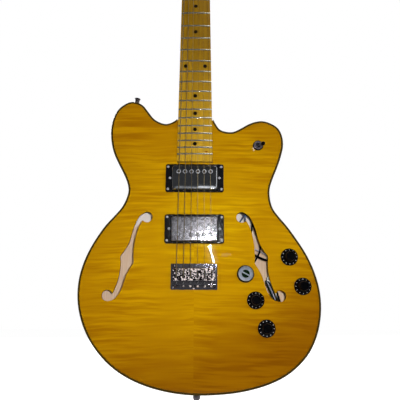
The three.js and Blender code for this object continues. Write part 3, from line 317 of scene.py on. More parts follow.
def painted_glint_chrome():
    """Plated metal with painted glints: small patches painted near white and matt stand in for the glints a flash
    makes, more of them near the middle and on the string lines than in the gaps between the saddles.
    """
    plating = Finish("saddle_chrome_painted_glints", "chrome")
    facets = plating.noise(430, 3)
    aside = plating.x - 0.004
    glints_near_middle = (aside * aside).rise(0.0016, 0.0001)
    # Fewer painted glints over the gaps between the saddles, more on the string lines.
    between = (plating.x * (FULL_TURN / (STRING_GAP * MM))).maths("COSINE")
    # Painted glints: near-white matt patches where flash glints would be.
    painted_glints = (facets + glints_near_middle * 0.06 - between * 0.045).rise(0.53, 0.6)
    return plating.paint(Base_Color=plating.mix(painted_glints, rgb(112, 98, 102), rgb(255, 240, 238)),
                         Metallic=1 - painted_glints * 0.8,
                         Roughness=painted_glints * 0.25 + 0.08,
                         Normal=plating.bump(facets, 0.00012))


def moulded(name, slot, tone, roughness, grain=0.00002, gloss=0.5):
    """Moulded plastic with a faint texture and slight dust."""
    tone = rgb(*tone)
    plastic = Finish(name, slot, Specular_IOR_Level=gloss)
    fine = plastic.noise(1800, 3)
    dust = plastic.noise(240, 4, roughness=0.65).rise(0.52, 0.85)
    lighter = tuple(value * 1.6 + 0.003 for value in tone)
    return plastic.paint(Base_Color=plastic.mix(dust * 0.5, tone, lighter),
                         Roughness=fine * 0.08 + dust * 0.1 + roughness,
                         Normal=plastic.bump(fine, grain, 0.3))


def bone():
    """Cream bone with faint pores."""
    surface = Finish("bone", "bone", Subsurface_Weight=0.1, Subsurface_Radius=(0.002, 0.0015, 0.001))
    pores = surface.streaks(300, 1500, 1500, 3)
    return surface.paint(Base_Color=surface.mix(pores.rise(0.3, 0.8), rgb(226, 216, 190), rgb(240, 233, 214)),
                         Roughness=pores * 0.2 + 0.35)


WINDING_PITCH = 0.00045


def wound_string():
    """Nickel winding: fine ridges along the string, with painted shade in the grooves between them."""
    winding = Finish("wound_string", "string_steel", Metallic=0.85)
    ridges = (winding.z * (FULL_TURN / WINDING_PITCH)).maths("SINE") * 0.5 + 0.5
    tarnish = winding.noise(60, 3).rise(0.35, 0.75)
    base = winding.mix(tarnish * 0.6, rgb(176, 160, 124), rgb(140, 116, 84))
    # Painted shade in the grooves between the ridges.
    return winding.paint(Base_Color=winding.darker((1 - ridges) * 0.5, base, (0.55, 0.5, 0.45)),
                         Roughness=tarnish * 0.1 + 0.28,
                         Normal=winding.bump(ridges, 0.00008, 0.7))


top_maple = flamed_top()
side_maple = plain_sides()
inside_maple = bare_maple()
board_maple = neck_wood()
dark_binding = moulded("dark_binding", "dark_binding", (62, 48, 8), 0.3, gloss=0.12)
# The f-holes' walls are painted dark: painted shade inside their edges.
painted_shade_hole_wall = moulded("hole_wall_painted_shade", "dark_binding", (26, 12, 8), 0.5, gloss=0.1)
nut_bone = bone()
chrome = metal("chrome", "chrome", (205, 206, 210), 0.09)
worn_chrome = metal("worn_chrome", "chrome", (226, 224, 232), 0.07, 0.9, 4200, 0.00008, 0.35)
neck_chrome = metal("neck_chrome", "chrome", (196, 200, 206), 0.03, 0.4, 4200, 0.000003, 0.5)
# Chrome darkened: painted shade under and between the saddles.
bridge_chrome_painted_shade = metal("bridge_chrome_painted_shade", "chrome", (104, 102, 108), 0.08, 0.8, 4200, 0.00008, 0.45, 0.75)
pole_nickel = metal("pole_nickel", "plated_steel", (214, 214, 220), 0.34, 0.3, 3000, 0.00005, shine=0.5)
saddle_chrome_painted_glints = painted_glint_chrome()
# Chrome darkened: a painted dark reflection of the room.
dark_chrome_painted_reflection = metal("dark_chrome_painted_reflection", "chrome", (104, 98, 102), 0.14, 0.8, 3000, 0.00005, shine=0.75)
selector_nickel = metal("selector_nickel", "chrome", (150, 140, 146), 0.2, 0.8, 3000, 0.00005, shine=0.7)
nickel_frets = metal("fret_nickel", "plated_steel", (206, 206, 190), 0.1, shine=0.85)
steel = metal("screw_steel", "plated_steel", (196, 196, 196), 0.2, 0.7, 1600)
dial_silver = metal("dial_silver", "black_plastic", (206, 214, 230), 0.3, 0.9, 1500, 0.00004, 0.5, 0.72)
zinc = metal("pot_zinc", "plated_steel", (168, 168, 164), 0.4, 0.8)
plain_string = metal("plain_string", "string_steel", (190, 172, 126), 0.2, 0.4, shine=0.85)
winding = wound_string()
black_gloss = moulded("black_gloss", "black_plastic", (16, 16, 18), 0.12)
black_satin = moulded("black_satin", "black_plastic", (3, 3, 5), 0.3, gloss=0.08)
white_paint = moulded("white_ticks", "black_plastic", (216, 216, 214), 0.45)
inlay = moulded("black_inlay", "neck_maple", (14, 8, 4), 0.3, gloss=0.1)
green_glass = moulded("dial_well", "black_plastic", (12, 32, 14), 0.3, gloss=0.08)
wire_black = moulded("wire_black", "wire_cover", (8, 5, 6), 0.45, gloss=0.2)
wire_blue = moulded("wire_blue_grey", "wire_cover", (62, 84, 116), 0.45)
wire_white = moulded("wire_white", "wire_cover", (246, 246, 240), 0.45)
green_foil = moulded("capacitor_green", "wire_cover", (14, 34, 28), 0.12)
# Lilac-grey: one real wire, and a painted highlight along the capacitor.
grey_wire_and_capacitor_highlight = moulded("lilac_grey_wire_and_painted_capacitor_highlight", "wire_cover", (184, 182, 204), 0.3)


# Shapes, in millimetres

def from_frame(node):
    """A merged copy of a CAD node's mesh."""
    shape = bmesh.new()
    shape.from_mesh(frame["nodes"][node].data)
    bmesh.ops.scale(shape, vec=(1 / MM,) * 3, verts=shape.verts)
    bmesh.ops.remove_doubles(shape, verts=shape.verts, dist=0.002)
    return shape


def middle(node):
    """The middle of a CAD node's box."""
    low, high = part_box(node)
    return (low + high) / 2 / MM


def over(node):
    """The place in the plane of the top where a CAD node's middle lies."""
    centre = middle(node)
    return at(centre.x, 0, centre.z)


def flat_rings(node, depth):
    """The edges of a CAD node's flat face at that depth, as rings of points, the longest first."""
    shape = from_frame(node)
    edges = [edge for edge in shape.edges
             if sum(all(abs(vert.co.y - depth) < 0.01 for vert in face.verts) for face in edge.link_faces) == 1]
    rings = []
    while edges:
        ring = list(edges.pop().verts)
        while follow := next((edge for edge in edges if ring[-1] in edge.verts), None):
            edges.remove(follow)
            ring.append(follow.other_vert(ring[-1]))
        rings.append([vert.co.copy() for vert in ring[:-1]])
    shape.free()
    return sorted(rings, key=ring_length, reverse=True)


def following(ring):
    return ring[1:] + ring[:1]


def ring_length(ring):
    return sum((b - a).length for a, b in zip(ring, following(ring)))


def smoothed(ring, steps=3, corner=48):
    """A ring with curved spans between its points, except at its corners."""
    headings = []
    for before, point, after in zip(ring[-1:] + ring[:-1], ring, following(ring)):
        come, leave = point - before, after - point
        turned_far = come.angle(leave) > radians(corner)
        heading = come.normalized() * leave.length + leave.normalized() * come.length
        headings.append(None if turned_far else heading.normalized())
    curved = []
    for a, b, start, end in zip(ring, following(ring), headings, following(headings)):
        chord = b - a
        start = (start or chord.normalized()) * chord.length / 3
        end = (end or chord.normalized()) * chord.length / 3
        curved += interpolate_bezier(a, a + start, b - end, b, steps + 1)[:-1]
    return curved


def drawn_in(ring, distance, depth):
    """A ring moved towards its inside, and to that depth."""
    area = sum(a.x * b.z - b.x * a.z for a, b in zip(ring, following(ring)))
    moved = []
    for before, point, after in zip(ring[-1:] + ring[:-1], ring, following(ring)):
        come, leave = (point - before).normalized(), (after - point).normalized()
        along = (come + leave).normalized()
        inward = Vector((-along.z, 0, along.x)) * copysign(1, area)
        place = point + inward * (distance / max(come.dot(along), 0.6))
        moved.append(Vector((place.x, depth, place.z)))
    return moved


def bridged(shape, rings):
    """Skins rings that have as many points, and returns the edges of the first and of the last."""
    loops = []
    for ring in rings:
        verts = [shape.verts.new(point) for point in ring]
        loops.append([shape.edges.new(pair) for pair in zip(verts, following(verts))])
    for near, far in zip(loops, loops[1:]):
        bmesh.ops.bridge_loops(shape, edges=near + far)
    return loops[0], loops[-1]


def skin(rings, capped=True):
    """A surface through rings, open or closed at its ends."""
    shape = bmesh.new()
    first, last = bridged(shape, rings)
    if capped:
        bmesh.ops.edgeloop_fill(shape, edges=first + last)
    return tidy(shape)


def slab(outlines, front, back, rounding, steps=2):
    """A flat plate in the first outline, with holes in the others. Its front edges are rounded."""
    shape = bmesh.new()
    front_edges, back_edges = [], []
    for number, ring in enumerate(outlines):
        way = -1 if number else 1
        turns = [pi / 2 * k / steps for k in range(steps + 1)]
        rings = [
            drawn_in(ring, way * rounding * (1 - sin(turn)), front + rounding * (1 - cos(turn)))
            for turn in turns
        ]
        first, last = bridged(shape, rings + [[(point.x, back, point.z) for point in ring]])
        front_edges += first
        back_edges += last
    for edges in (front_edges, back_edges):
        bmesh.ops.triangle_fill(shape, use_beauty=True, edges=edges, normal=(0, -1, 0))
    return tidy(shape)


def painted(shape, look):
    """Gives every face the same of its piece's finishes."""
    for face in shape.faces:
        face.material_index = look
    return shape


def cut(shape, place, normal, reach):
    """Splits the faces that a plane crosses."""
    bmesh.ops.bisect_plane(shape, geom=shape.verts[:] + shape.edges[:] + shape.faces[:], dist=reach,
                           plane_co=place, plane_no=normal)


def tidy(shape):
    bmesh.ops.remove_doubles(shape, verts=shape.verts, dist=0.0005)
    bmesh.ops.recalc_face_normals(shape, faces=shape.faces)
    return shape


def turned(profile, steps, place=None, look=0):
    """A round shape about the Y axis, from radii and heights that grow towards the player's side."""
    shape = bmesh.new()
    verts = [shape.verts.new((radius, -height, 0)) for radius, height in profile]
    edges = [shape.edges.new(pair) for pair in zip(verts, verts[1:])]
    bmesh.ops.spin(shape, geom=verts + edges, cent=(0, 0, 0), axis=(0, 1, 0), angle=FULL_TURN, steps=steps,
                   use_merge=True, use_duplicate=False)
    return placed(tidy(painted(shape, look)), place)


def placed(shape, place):
    if place is not None:
        bmesh.ops.transform(shape, matrix=place, verts=shape.verts)
    return shape


def pointing(way):
    """A turn that takes local -Y to a direction."""
    return Vector((0, -1, 0)).rotation_difference(way).to_matrix().to_4x4()


def block(low, high, look=0):
    """A box between two corners."""
    low, high = Vector(low), Vector(high)
    shape = bmesh.new()
    bmesh.ops.create_cube(shape, size=1)
    bmesh.ops.scale(shape, vec=high - low, verts=shape.verts)
    bmesh.ops.translate(shape, vec=(low + high) / 2, verts=shape.verts)
    return painted(shape, look)


def bevel(shape, edges, width, segments):
    bmesh.ops.bevel(shape, geom=edges, offset=width, offset_type="OFFSET", affect="EDGES",
                    segments=segments, profile=0.5, material=-1, clamp_overlap=True)
    return shape


def soften(shape, width, segments, angle):
    """Rounds every edge that is sharper than the angle."""
    sharp = [edge for edge in shape.edges
             if len(edge.link_faces) == 2 and edge.calc_face_angle(0) > radians(angle)]
    return bevel(shape, sharp, width, segments)


def rounded_block(low, high, corner, edge, segments=3):
    """A box with rounded corners seen from the front, and softened edges."""
    shape = block(low, high)
    upright = [edge for edge in shape.edges
               if abs(edge.verts[0].co.y - edge.verts[1].co.y) > max(1e-6, abs(high[1] - low[1]) / 2)]
    bevel(shape, upright, corner, 6)
    return soften(shape, edge, segments, 60) if edge else shape


def as_mesh(name, shape):
    mesh = bpy.data.meshes.new(name)
    shape.to_mesh(mesh)
    shape.free()
    return mesh


def joined(*shapes):
    whole = bmesh.new()
    for shape in shapes:
        part = as_mesh("part", shape)
        whole.from_mesh(part)
        bpy.data.meshes.remove(part)
    return whole


def screw_head(radius, rise, place, cross=True, look=1):
    """A domed screw head with a cross or a slot sunk in it."""
    shape = turned([(radius, 0), (radius, rise * 0.35), (radius * 0.85, rise * 0.75), (radius * 0.5, rise),
                    (0, rise * 1.02)], 24)
    half, reach = radius * 0.11, radius * (0.58 if cross else 1)
    for axis in ((1, 0, 0), (0, 0, 1)):
        for distance in (-reach, -half, half, reach):
            cut(shape, Vector(axis) * distance, axis, 1e-5)
    sunk = []
    for face in shape.faces:
        centre = face.calc_center_median()
        x, z = abs(centre.x), abs(centre.z)
        if face.normal.y < -0.2 and ((x < half and z < reach) or (cross and z < half and x < reach)):
            sunk.append(face)
    made = bmesh.ops.extrude_face_region(shape, geom=sunk)
    lowered = [item for item in made["geom"] if isinstance(item, bmesh.types.BMVert)]
    bmesh.ops.delete(shape, geom=sunk, context="FACES")
    bmesh.ops.translate(shape, vec=(0, rise * 0.6, 0), verts=lowered)
    return placed(tidy(painted(shape, look)), place)


def tube(points, radius, sides, smooth=False, look=0):
    """A round wire through points."""
    curve = bpy.data.curves.new("wire", "CURVE")
    curve.dimensions = "3D"
    curve.bevel_depth = radius
    curve.bevel_resolution = sides
    curve.resolution_u = 10
    curve.use_fill_caps = True
    spline = curve.splines.new("BEZIER" if smooth else "POLY")
    knots = spline.bezier_points if smooth else spline.points
    knots.add(len(points) - 1)
    for knot, point in zip(knots, points):
        knot.co = point if smooth else (*point, 1)
        if smooth:
            knot.handle_left_type = knot.handle_right_type = "AUTO"
    holder = shown("wire", curve)
    skinned = bpy.data.meshes.new_from_object(holder.evaluated_get(bpy.context.evaluated_depsgraph_get()))
    bpy.data.objects.remove(holder)
    shape = bmesh.new()
    shape.from_mesh(skinned)
    bpy.data.meshes.remove(skinned)
    return tidy(painted(shape, look))


def dressed(node, width, angle=30):
    """A copy of a CAD node with its flat faces whole and its edges rounded."""
    shape = from_frame(node)
    bmesh.ops.dissolve_limit(shape, angle_limit=radians(1), verts=shape.verts, edges=shape.edges)
    return soften(shape, width, 2, angle)


def piece(name, shape, body, finishes, stands_for=(), smooth=35):
    """Puts a shape into the scene as a piece that rides on a body."""
    bmesh.ops.scale(shape, vec=(MM,) * 3, verts=shape.verts)
    mesh = as_mesh(name, shape)
    for finish in finishes:
        mesh.materials.append(finish.material)
    mesh.shade_smooth()
    mesh.set_sharp_from_angle(angle=radians(smooth))
    made = shown(name, mesh)
    made.modifiers.new("flat faces stay flat", "WEIGHTED_NORMAL").keep_sharp = True
    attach(made, body)
    if stands_for:
        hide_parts(*stands_for)
    return made


def colour_node(node, finish):
    """Gives its material to a CAD node that stays in view."""
    for place in frame["nodes"][node].material_slots:
        place.material = finish.material


# Body

BODY = "guitar"
BODY_DEPTH = 45
TOP_THICKNESS = 4.5
BACK_FACE = 41
BINDING = 3
POCKET_HALF, POCKET_FLOOR, POCKET_END = 28.9, 17.3, -480

outline = smoothed(flat_rings("back_plate", BACK_FACE)[0])


def cut_pocket(shape):
    """Takes out the part of a rim that the neck's heel fills."""
    for place in ((POCKET_HALF, 0, 0), (-POCKET_HALF, 0, 0)):
        cut(shape, place, (1, 0, 0), 1e-4)
    cut(shape, (0, POCKET_FLOOR, 0), (0, 1, 0), 1e-4)
    filled = [face for face in shape.faces if (centre := face.calc_center_median()).z > POCKET_END
              and abs(centre.x) < POCKET_HALF and centre.y < POCKET_FLOOR]
    bmesh.ops.delete(shape, geom=filled, context="FACES")
    return shape


def make_body():
    plate = slab([smoothed(ring) for ring in flat_rings("top_plate", 0)], 0, TOP_THICKNESS, 0.35)
    # The plate's walls, the f-holes' ones too, take the dark finish of painted shade.
    for face in plate.faces:
        face.material_index = 1 if abs(face.normal.y) < 0.3 else 0
    piece("flamed_top", plate, BODY, [top_maple, painted_shade_hole_wall], ["top_plate"])

    edge = 0.9
    section = [(edge, 0), (edge * 0.3, edge * 0.3), (0, edge), (0, TOP_THICKNESS), (BINDING, TOP_THICKNESS),
               (BINDING, 0)]
    binding = skin([drawn_in(outline, inset, depth) for inset, depth in section + section[:1]], capped=False)
    cut_pocket(binding)
    bmesh.ops.holes_fill(binding, edges=binding.edges[:])
    piece("edge_binding", tidy(binding), BODY, [dark_binding], ["top_binding"])

    rim = skin([drawn_in(outline, 0, depth) for depth in (TOP_THICKNESS, 12, 20, 30, BACK_FACE)], capped=False)
    cut_pocket(rim)
    bmesh.ops.recalc_face_normals(rim, faces=rim.faces)
    bmesh.ops.solidify(rim, geom=rim.faces[:], thickness=8)
    piece("sides", rim, BODY, [side_maple], ["rim"])

    back_round = 2
    turns = [pi / 2 * k / 4 for k in range(5)]
    section = [(0, BACK_FACE)] + [
        (back_round * (1 - cos(turn)), BODY_DEPTH - back_round * (1 - sin(turn))) for turn in turns
    ]
    back = skin([drawn_in(outline, inset, depth) for inset, depth in section])
    for face in back.faces:
        face.material_index = 1 if abs(face.calc_center_median().y - BACK_FACE) < 0.01 else 0
    piece("back", back, BODY, [side_maple, inside_maple], ["back_plate"])


make_body()

colour_node("centre_block", inside_maple)


# Neck

SCALE = 648
BOARD_END = -478.36
NUT_HALF, END_HALF = 21.3, 28.2
CROWN = 245
BOARD_FACE = -7
HEEL_TOP = BOARD_END + 82
HEEL_SWEEP = 42
HEAD_FACE, HEAD_BACK = 1, 15.5
HEAD_ROOT = 26


def board_half(z):
    return NUT_HALF + (END_HALF - NUT_HALF) * z / BOARD_END


def crown(x):
    return x * x / (2 * CROWN)


def fret_place(number):
    return -SCALE * (1 - 2 ** (-number / 12))


def mix(one, other, share):
    return one + (other - one) * share


def neck_ring(z, bass, treble, back, roundness, face=BOARD_FACE):
    """A ring round the neck: crowned board in front, rounded back behind."""
    shift, half = (treble - bass) / 2, (treble + bass) / 2
    points = []
    for k in range(13):
        x = half * (k / 6 - 1)
        points.append(Vector((shift + x, BOARD_FACE + crown(x), z)))
    edge = BOARD_FACE + crown(half) + 4
    for k in range(25):
        turn = pi * k / 24
        across = copysign(abs(cos(turn)) ** (2 / roundness), cos(turn))
        out = abs(sin(turn)) ** (2 / roundness)
        points.append(Vector((shift + half * across, edge + (back - edge) * out, z)))
    for point in points:
        point.y = max(point.y, face)
    return points


def shaft_ring(z):
    share = min(max((z - HEEL_TOP) / HEEL_SWEEP, 0), 1)
    sweep = share * share * (3 - 2 * share)
    depth = mix(21, 23, min(max(z / HEEL_TOP, 0), 1))
    half = board_half(z)
    return neck_ring(z, half, half, mix(24, depth, sweep) + BOARD_FACE, 2.3 * (20 / 2.3) ** (1 - sweep))


def root_ring(z, face):
    """A ring where the shaft widens into the headstock."""
    stations = [(0, 1, 1, 0), (0.3, 1.06, 1.02, 0.1), (0.65, 1.26, 1.08, 0.4), (1, 1.5, 1.17, 1)]
    up = z / HEAD_ROOT
    near = max(station for station in stations[:-1] if station[0] <= up)
    far = stations[stations.index(near) + 1]
    share = (up - near[0]) / (far[0] - near[0])
    bass, treble, square = (mix(a, b, share) for a, b in zip(near[1:], far[1:]))
    back = mix(21 + BOARD_FACE, HEAD_BACK, square)
    return neck_ring(z, NUT_HALF * bass, NUT_HALF * treble, back, 2.3 * (20 / 2.3) ** square, face)


def make_neck():
    rings = [shaft_ring(BOARD_END)]
    rings += [shaft_ring(HEEL_TOP + HEEL_SWEEP * k / 10) for k in range(11)]
    rings += [shaft_ring(HEEL_TOP * 0.5), shaft_ring(0)]
    rings.append(root_ring(0, -3.5))
    for share in (0, 0.1, 0.25, 0.4, 0.6, 0.8, 0.91):
        rings.append(root_ring(3.2 + 25 * share, 1 - 4.5 * (1 - share) ** 2))
    rings.append(root_ring(HEAD_ROOT, 0.98))
    shaft = skin(rings)
    head, *bores = flat_rings("neck", HEAD_BACK)
    plate = slab([smoothed(head, 2, 30), *bores], HEAD_FACE, HEAD_BACK, 1.2, 3)
    piece("neck_and_headstock", joined(shaft, plate), BODY, [board_maple], ["neck"])

    dome = [(-1.1 * sin(turn), -1.3 * cos(turn)) for turn in (0.12, 0.45, 0.9, 1.35, 1.79, 2.24, 2.69, 3.02)]
    profile = [(0.4, -1.3), *dome, (0.4, 1.3)]
    frets = []
    for number in range(1, 23):
        z = fret_place(number)
        half = board_half(z) - 0.4
        bar = bmesh.new()
        bar.faces.new([bar.verts.new((0, BOARD_FACE + y, along)) for y, along in profile])
        sweep = 2 * half / CROWN
        centre = (0, BOARD_FACE + CROWN, 0)
        bmesh.ops.rotate(bar, cent=centre, matrix=Matrix.Rotation(-sweep / 2, 3, "Z"), verts=bar.verts)
        bmesh.ops.spin(bar, geom=bar.faces[:], cent=centre, axis=(0, 0, 1), angle=sweep, steps=8)
        frets.append(placed(tidy(bar), at(0, 0, z)))
    piece("frets", joined(*frets), BODY, [nickel_frets], smooth=50)

    dots = []
    for number in (3, 5, 7, 9, 12, 15, 17, 19, 21):
        z = (fret_place(number - 1) + fret_place(number)) / 2
        for x in ((-16, 16) if number == 12 else (0,)):
            lean = about("Z", atan(x / CROWN))
            dots.append(turned([(3.2, -0.8), (3.2, 0.03), (0, 0.04)], 24, at(x, BOARD_FACE + crown(x), z) @ lean))
    piece("dot_inlays", joined(*dots), BODY, [inlay])

    piece("bone_nut", dressed("nut", 0.25), BODY, [nut_bone], ["nut"])


make_neck()


# Pickups

COVER_HALVES = (35, 19)
RING_HALVES = (45.5, 22.7)
COVER_CORNER = 3.5
COVER_PLAY = 0.7
POLE_GAP, POLE_LINE = 10, 9.5
CORNERS = [(a, b) for a in (-1, 1) for b in (-1, 1)]


def make_pickups():
    for name, face, ring, side, look in (("neck", 7, 3.5, 1, neck_chrome), ("bridge", 7.4, 5, -1, worn_chrome)):
        z = middle("pickup_ring_" + name).z

        def upright(halves, front, back, edge, grown=0):
            across, up = halves[0] + grown, halves[1] + grown
            return rounded_block((-across, front, z - up), (across, back, z + up), COVER_CORNER, edge, 4)

        cover = upright(COVER_HALVES, -face, 8, 1.3)
        ears = block((-42, 9.6, z - 6.5), (42, 11, z + 6.5), 1)
        poles = []
        for i in range(6):
            place = at((i - 2.5) * POLE_GAP, -face, z + side * POLE_LINE) @ about("Y", 0.5 + i)
            poles.append(turned([(2.95, -0.1), (2.95, 0.03), (0, 0.03)], 24, place, 2))
            if side > 0:
                poles.append(turned([(3.3, -0.1), (3.3, 0.1), (2.9, 0.3), (2.4, 0.3), (2.2, 0.03)], 24, place, 1))
            poles.append(screw_head(2.2 if side < 0 else 1.5, 0.6, place, False, 1 if side < 0 else 3))
        piece("pickup_cover_" + name, joined(cover, ears, *poles), "pickup_" + name,
              [look, pole_nickel, black_satin, dark_chrome_painted_reflection], ["pickup_" + name])

        rings = []
        for shape in (upright(RING_HALVES, -ring, 0, 0), upright(COVER_HALVES, -ring, 0, 0, COVER_PLAY)):
            front = next(face for face in shape.faces if face.normal.y < -0.9)
            rings.append([vert.co.copy() for vert in front.verts])
            shape.free()
        frame_ring = slab(rings, -ring, 0, 1.1, 3)
        screws = [screw_head(1.9, 0.9, at(41.6 * a, -ring, z + 18 * b) @ about("Y", a + 2 * b))
                  for a, b in CORNERS]
        screws += [screw_head(2, 0.7, at(38.6 * a, -ring, z) @ about("Y", a)) for a in (-1, 1)]
        piece("pickup_frame_" + name, joined(frame_ring, *screws), BODY, [black_gloss, pole_nickel],
              ["pickup_ring_" + name])


make_pickups()


# Bridge

BRIDGE_Z = -SCALE
WALL = (-671.3, -669)
SCREW_Y = -6.6
SPRING_FRONT = -665.8
NUT_SPREAD, BRIDGE_SPREAD = 35.2, 52.6
NUT_RISE, BRIDGE_RISE = 1.7, 11.2
STRING_SIZES = (1.17, 0.91, 0.66, 0.43, 0.33, 0.25)


def string_places():
    """Each string's number, radius, and its places at the nut and over the bridge."""
    for i, size in enumerate(STRING_SIZES):
        share = i / 5 - 0.5
        nut_x, bridge_x = share * NUT_SPREAD, share * BRIDGE_SPREAD
        yield (i + 1, size / 2, Vector((nut_x, BOARD_FACE + crown(nut_x) - NUT_RISE, 0)),
               Vector((bridge_x, crown(bridge_x) - BRIDGE_RISE, BRIDGE_Z)))


def make_bridge():
    plate = rounded_block((-35, -2.2, -677.3), (35, 0, -638.5), 1.5, 0.4)
    wall = soften(block((-32, -9.4, WALL[0]), (32, -1.5, WALL[1])), 0.5, 2, 60)
    along = about("X", pi / 2)
    screws = []
    for _, _, _, bridge in string_places():
        shaft = turned([(0, 0), (1, 0), (1, 15), (0, 15)], 12, at(bridge.x, SCREW_Y, -675) @ along.inverted())
        head = screw_head(1.9, 2.4, at(bridge.x, SCREW_Y, WALL[0]) @ along)
        screws += [shaft, head]
    for x, z in ((-30, -674.5), (30, -674.5), (-30, -641.5), (30, -641.5), (0, -674.5)):
        screws.append(screw_head(1.9, 0.8, at(x, -2.2, z)))
    piece("fixed_bridge", joined(plate, wall, *screws), BODY, [bridge_chrome_painted_shade, saddle_chrome_painted_glints], ["bridge_plate"])
    for number, _, _, bridge in string_places():
        node = f"saddle_{number}"
        piece("bent_" + node, dressed(node, 0.22, 25), node, [saddle_chrome_painted_glints], [node], smooth=45)
        coil = []
        turns, per_turn = 3, 12
        for k in range(turns * per_turn + 1):
            angle = FULL_TURN * k / per_turn
            coil.append((bridge.x + 1.6 * cos(angle), SCREW_Y + 1.6 * sin(angle),
                         mix(SPRING_FRONT, WALL[1], k / (turns * per_turn))))
        spring = piece(f"saddle_spring_{number}", tube(coil, 0.25, 0), BODY, [steel])
        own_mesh(spring)


make_bridge()


# Strings

def make_strings():
    for number, radius, nut, bridge in string_places():
        node = f"string_{number}"
        along = (bridge - nut) / abs(bridge.z - nut.z)
        post = middle(f"tuner_post_{number}")
        at_post = Vector((post.x + 2.4 + 0.3 + radius, HEAD_FACE - 6.5, post.z))
        level_end = bridge + along * 3.6
        drop = Vector((bridge.x, -3.6, level_end.z - 9))
        ball = Vector((bridge.x, -3.6, WALL[0] - 0.3))
        over_nut = nut - along * 3.2
        wire = tube([at_post, over_nut, nut, level_end, drop, ball], max(radius, 0.2), 2)
        end = turned([(0, 0), (1.2, 0), (1.2, 2.4), (0, 2.4)], 16, at(*ball) @ about("X", pi / 2), 1)
        look = winding if number <= 3 else plain_string
        piece(f"sounding_{node}", joined(wire, end), BODY, [look, steel], [node])


make_strings()


# Knobs and pots

def skirt_ticks(count, radius, height, slope):
    """White ticks on a skirt, that point to its middle."""
    ticks = []
    for k in range(count):
        tick = block((-0.34, -0.08, -0.7), (0.34, 0.05, 0.7), 1)
        lean = about("X", -slope)
        ticks.append(placed(tick, about("Y", FULL_TURN * k / count) @ at(0, -height, radius) @ lean))
    return ticks


def skirted_knob():
    """A black knob with ticks round its skirt and a narrow fluted grip."""
    shell = turned([(0, 0.8), (13, 0.8), (13, 1.7), (12.7, 2.1), (9, 4.5), (8.3, 4.9), (7.8, 5.3), (7.5, 6.2),
                    (6.95, 13.6), (6.7, 14.3), (6.3, 14.5), (6.05, 14.4), (6, 13.9), (0, 13.9)], 72)
    for vert in shell.verts:
        reach = hypot(vert.co.x, vert.co.z)
        if -vert.co.y > 5.5 and reach > 6.1:
            turn = atan2(vert.co.x, vert.co.z)
            flute = 1 - 0.05 * (0.5 - 0.5 * cos(turn * 18)) ** 2
            vert.co.x *= flute
            vert.co.z *= flute
    return joined(shell, *skirt_ticks(12, 10.6, 3.5, atan2(2.4, 3.7)))


BAR_TURN = 28


def silver_dial():
    """A low black dial with a dished silver face, and a bar across its dark sunk middle."""
    base = turned([(0, 0.8), (13, 0.8), (13, 2.6), (12.85, 3), (11.75, 6.5), (11.45, 6.85), (11.1, 6.9), (11.1, 4),
                   (0, 4)], 72)
    face = turned([(11.1, 6.2), (11.1, 7.05), (10.8, 7.2), (9.6, 6.7), (8, 6.35), (6.6, 6.3), (6.2, 6.15),
                   (6.1, 5.6), (6.1, 5)], 72, look=1)
    well = turned([(6.2, 4.9), (0, 4.9)], 48, look=2)
    bar = soften(block((-7.2, -7.15, -0.85), (7.2, -4.5, 0.85), 1), 0.35, 3, 60)
    return joined(base, face, well, placed(bar, about("Y", radians(BAR_TURN))))


def make_knobs():
    for number in range(1, 5):
        node = f"knob_{number}"
        piece("skirted_" + node, placed(skirted_knob(), over(node)), node, [black_satin, white_paint], [node])
    piece("silver_dial", placed(silver_dial(), over("knob_5")), "knob_5", [black_satin, dial_silver, green_glass],
          ["knob_5"])
    for number in range(1, 6):
        colour_node(f"pot_{number}", zinc)


make_knobs()


# Selector switch

SWITCH_TURN, LEVER_TILT = 19, 20


def make_switch():
    place = over("toggle_switch") @ about("Y", radians(SWITCH_TURN))
    nut = turned([(3.8, 0), (8.3, 0), (8.3, 0.7), (8.1, 0.95), (7.5, 1.1), (7.3, 1.6), (7.2, 2.3), (6.9, 2.6),
                  (4.4, 2.6), (4, 2.3), (3.8, 1.6), (3.8, 0)], 48, place)
    # The chrome nut's outer rim is painted black satin: a painted dark reflection of the room.
    for face in nut.faces:
        out = face.calc_center_median() - place.translation
        face.material_index = 2 if hypot(out.x, out.z) > 7 else 0
    body = block((-13.5, 4.5, -6.5), (13.5, 6.1, 6.5), 1)
    leaves = [block((a * 10 - 1.5, 6.1, -4.5), (a * 10 + 1.5, 30, 4.5), 1) for a in (-1, 1)]
    spacer = block((-13.5, 25, -4.5), (13.5, 30, 4.5), 2)
    works = placed(joined(body, *leaves, spacer), place)
    piece("selector_nut", joined(nut, soften(works, 0.4, 2, 60)), BODY, [selector_nickel, steel, black_satin],
          ["toggle_switch"])
    tilt = place @ at(0, 1.5, 0) @ about("Z", radians(LEVER_TILT))
    lever = turned([(0, -9), (1.6, -9), (1.6, -3.3), (3.3, -1.1), (3.3, 1.1), (1.6, 3.3), (1.3, 14), (0, 14)],
                   24, tilt)
    tip = turned([(1.3, 14), (2.24, 14), (2.7, 15.5), (3.2, 17.6), (3.15, 19.5), (2.88, 20.8), (2.2, 21.65),
                  (1.28, 21.93), (0, 21.93)], 32, tilt, 1)
    piece("selector_lever", joined(lever, tip), "toggle_lever", [chrome, black_satin], ["toggle_lever"])


make_switch()


# Strap buttons, jack and neck plate

mounts = {mount["name"]: mount for mount in frame["record"]["mounts"]}


def outward(mount, reach):
    """A place on the rim, with local -Y pointing out of it."""
    axis = Vector(mounts[mount]["axis"])
    foot = Vector(mounts[mount]["pos_m"]) / MM - axis * reach
    return at(*foot) @ pointing(axis)


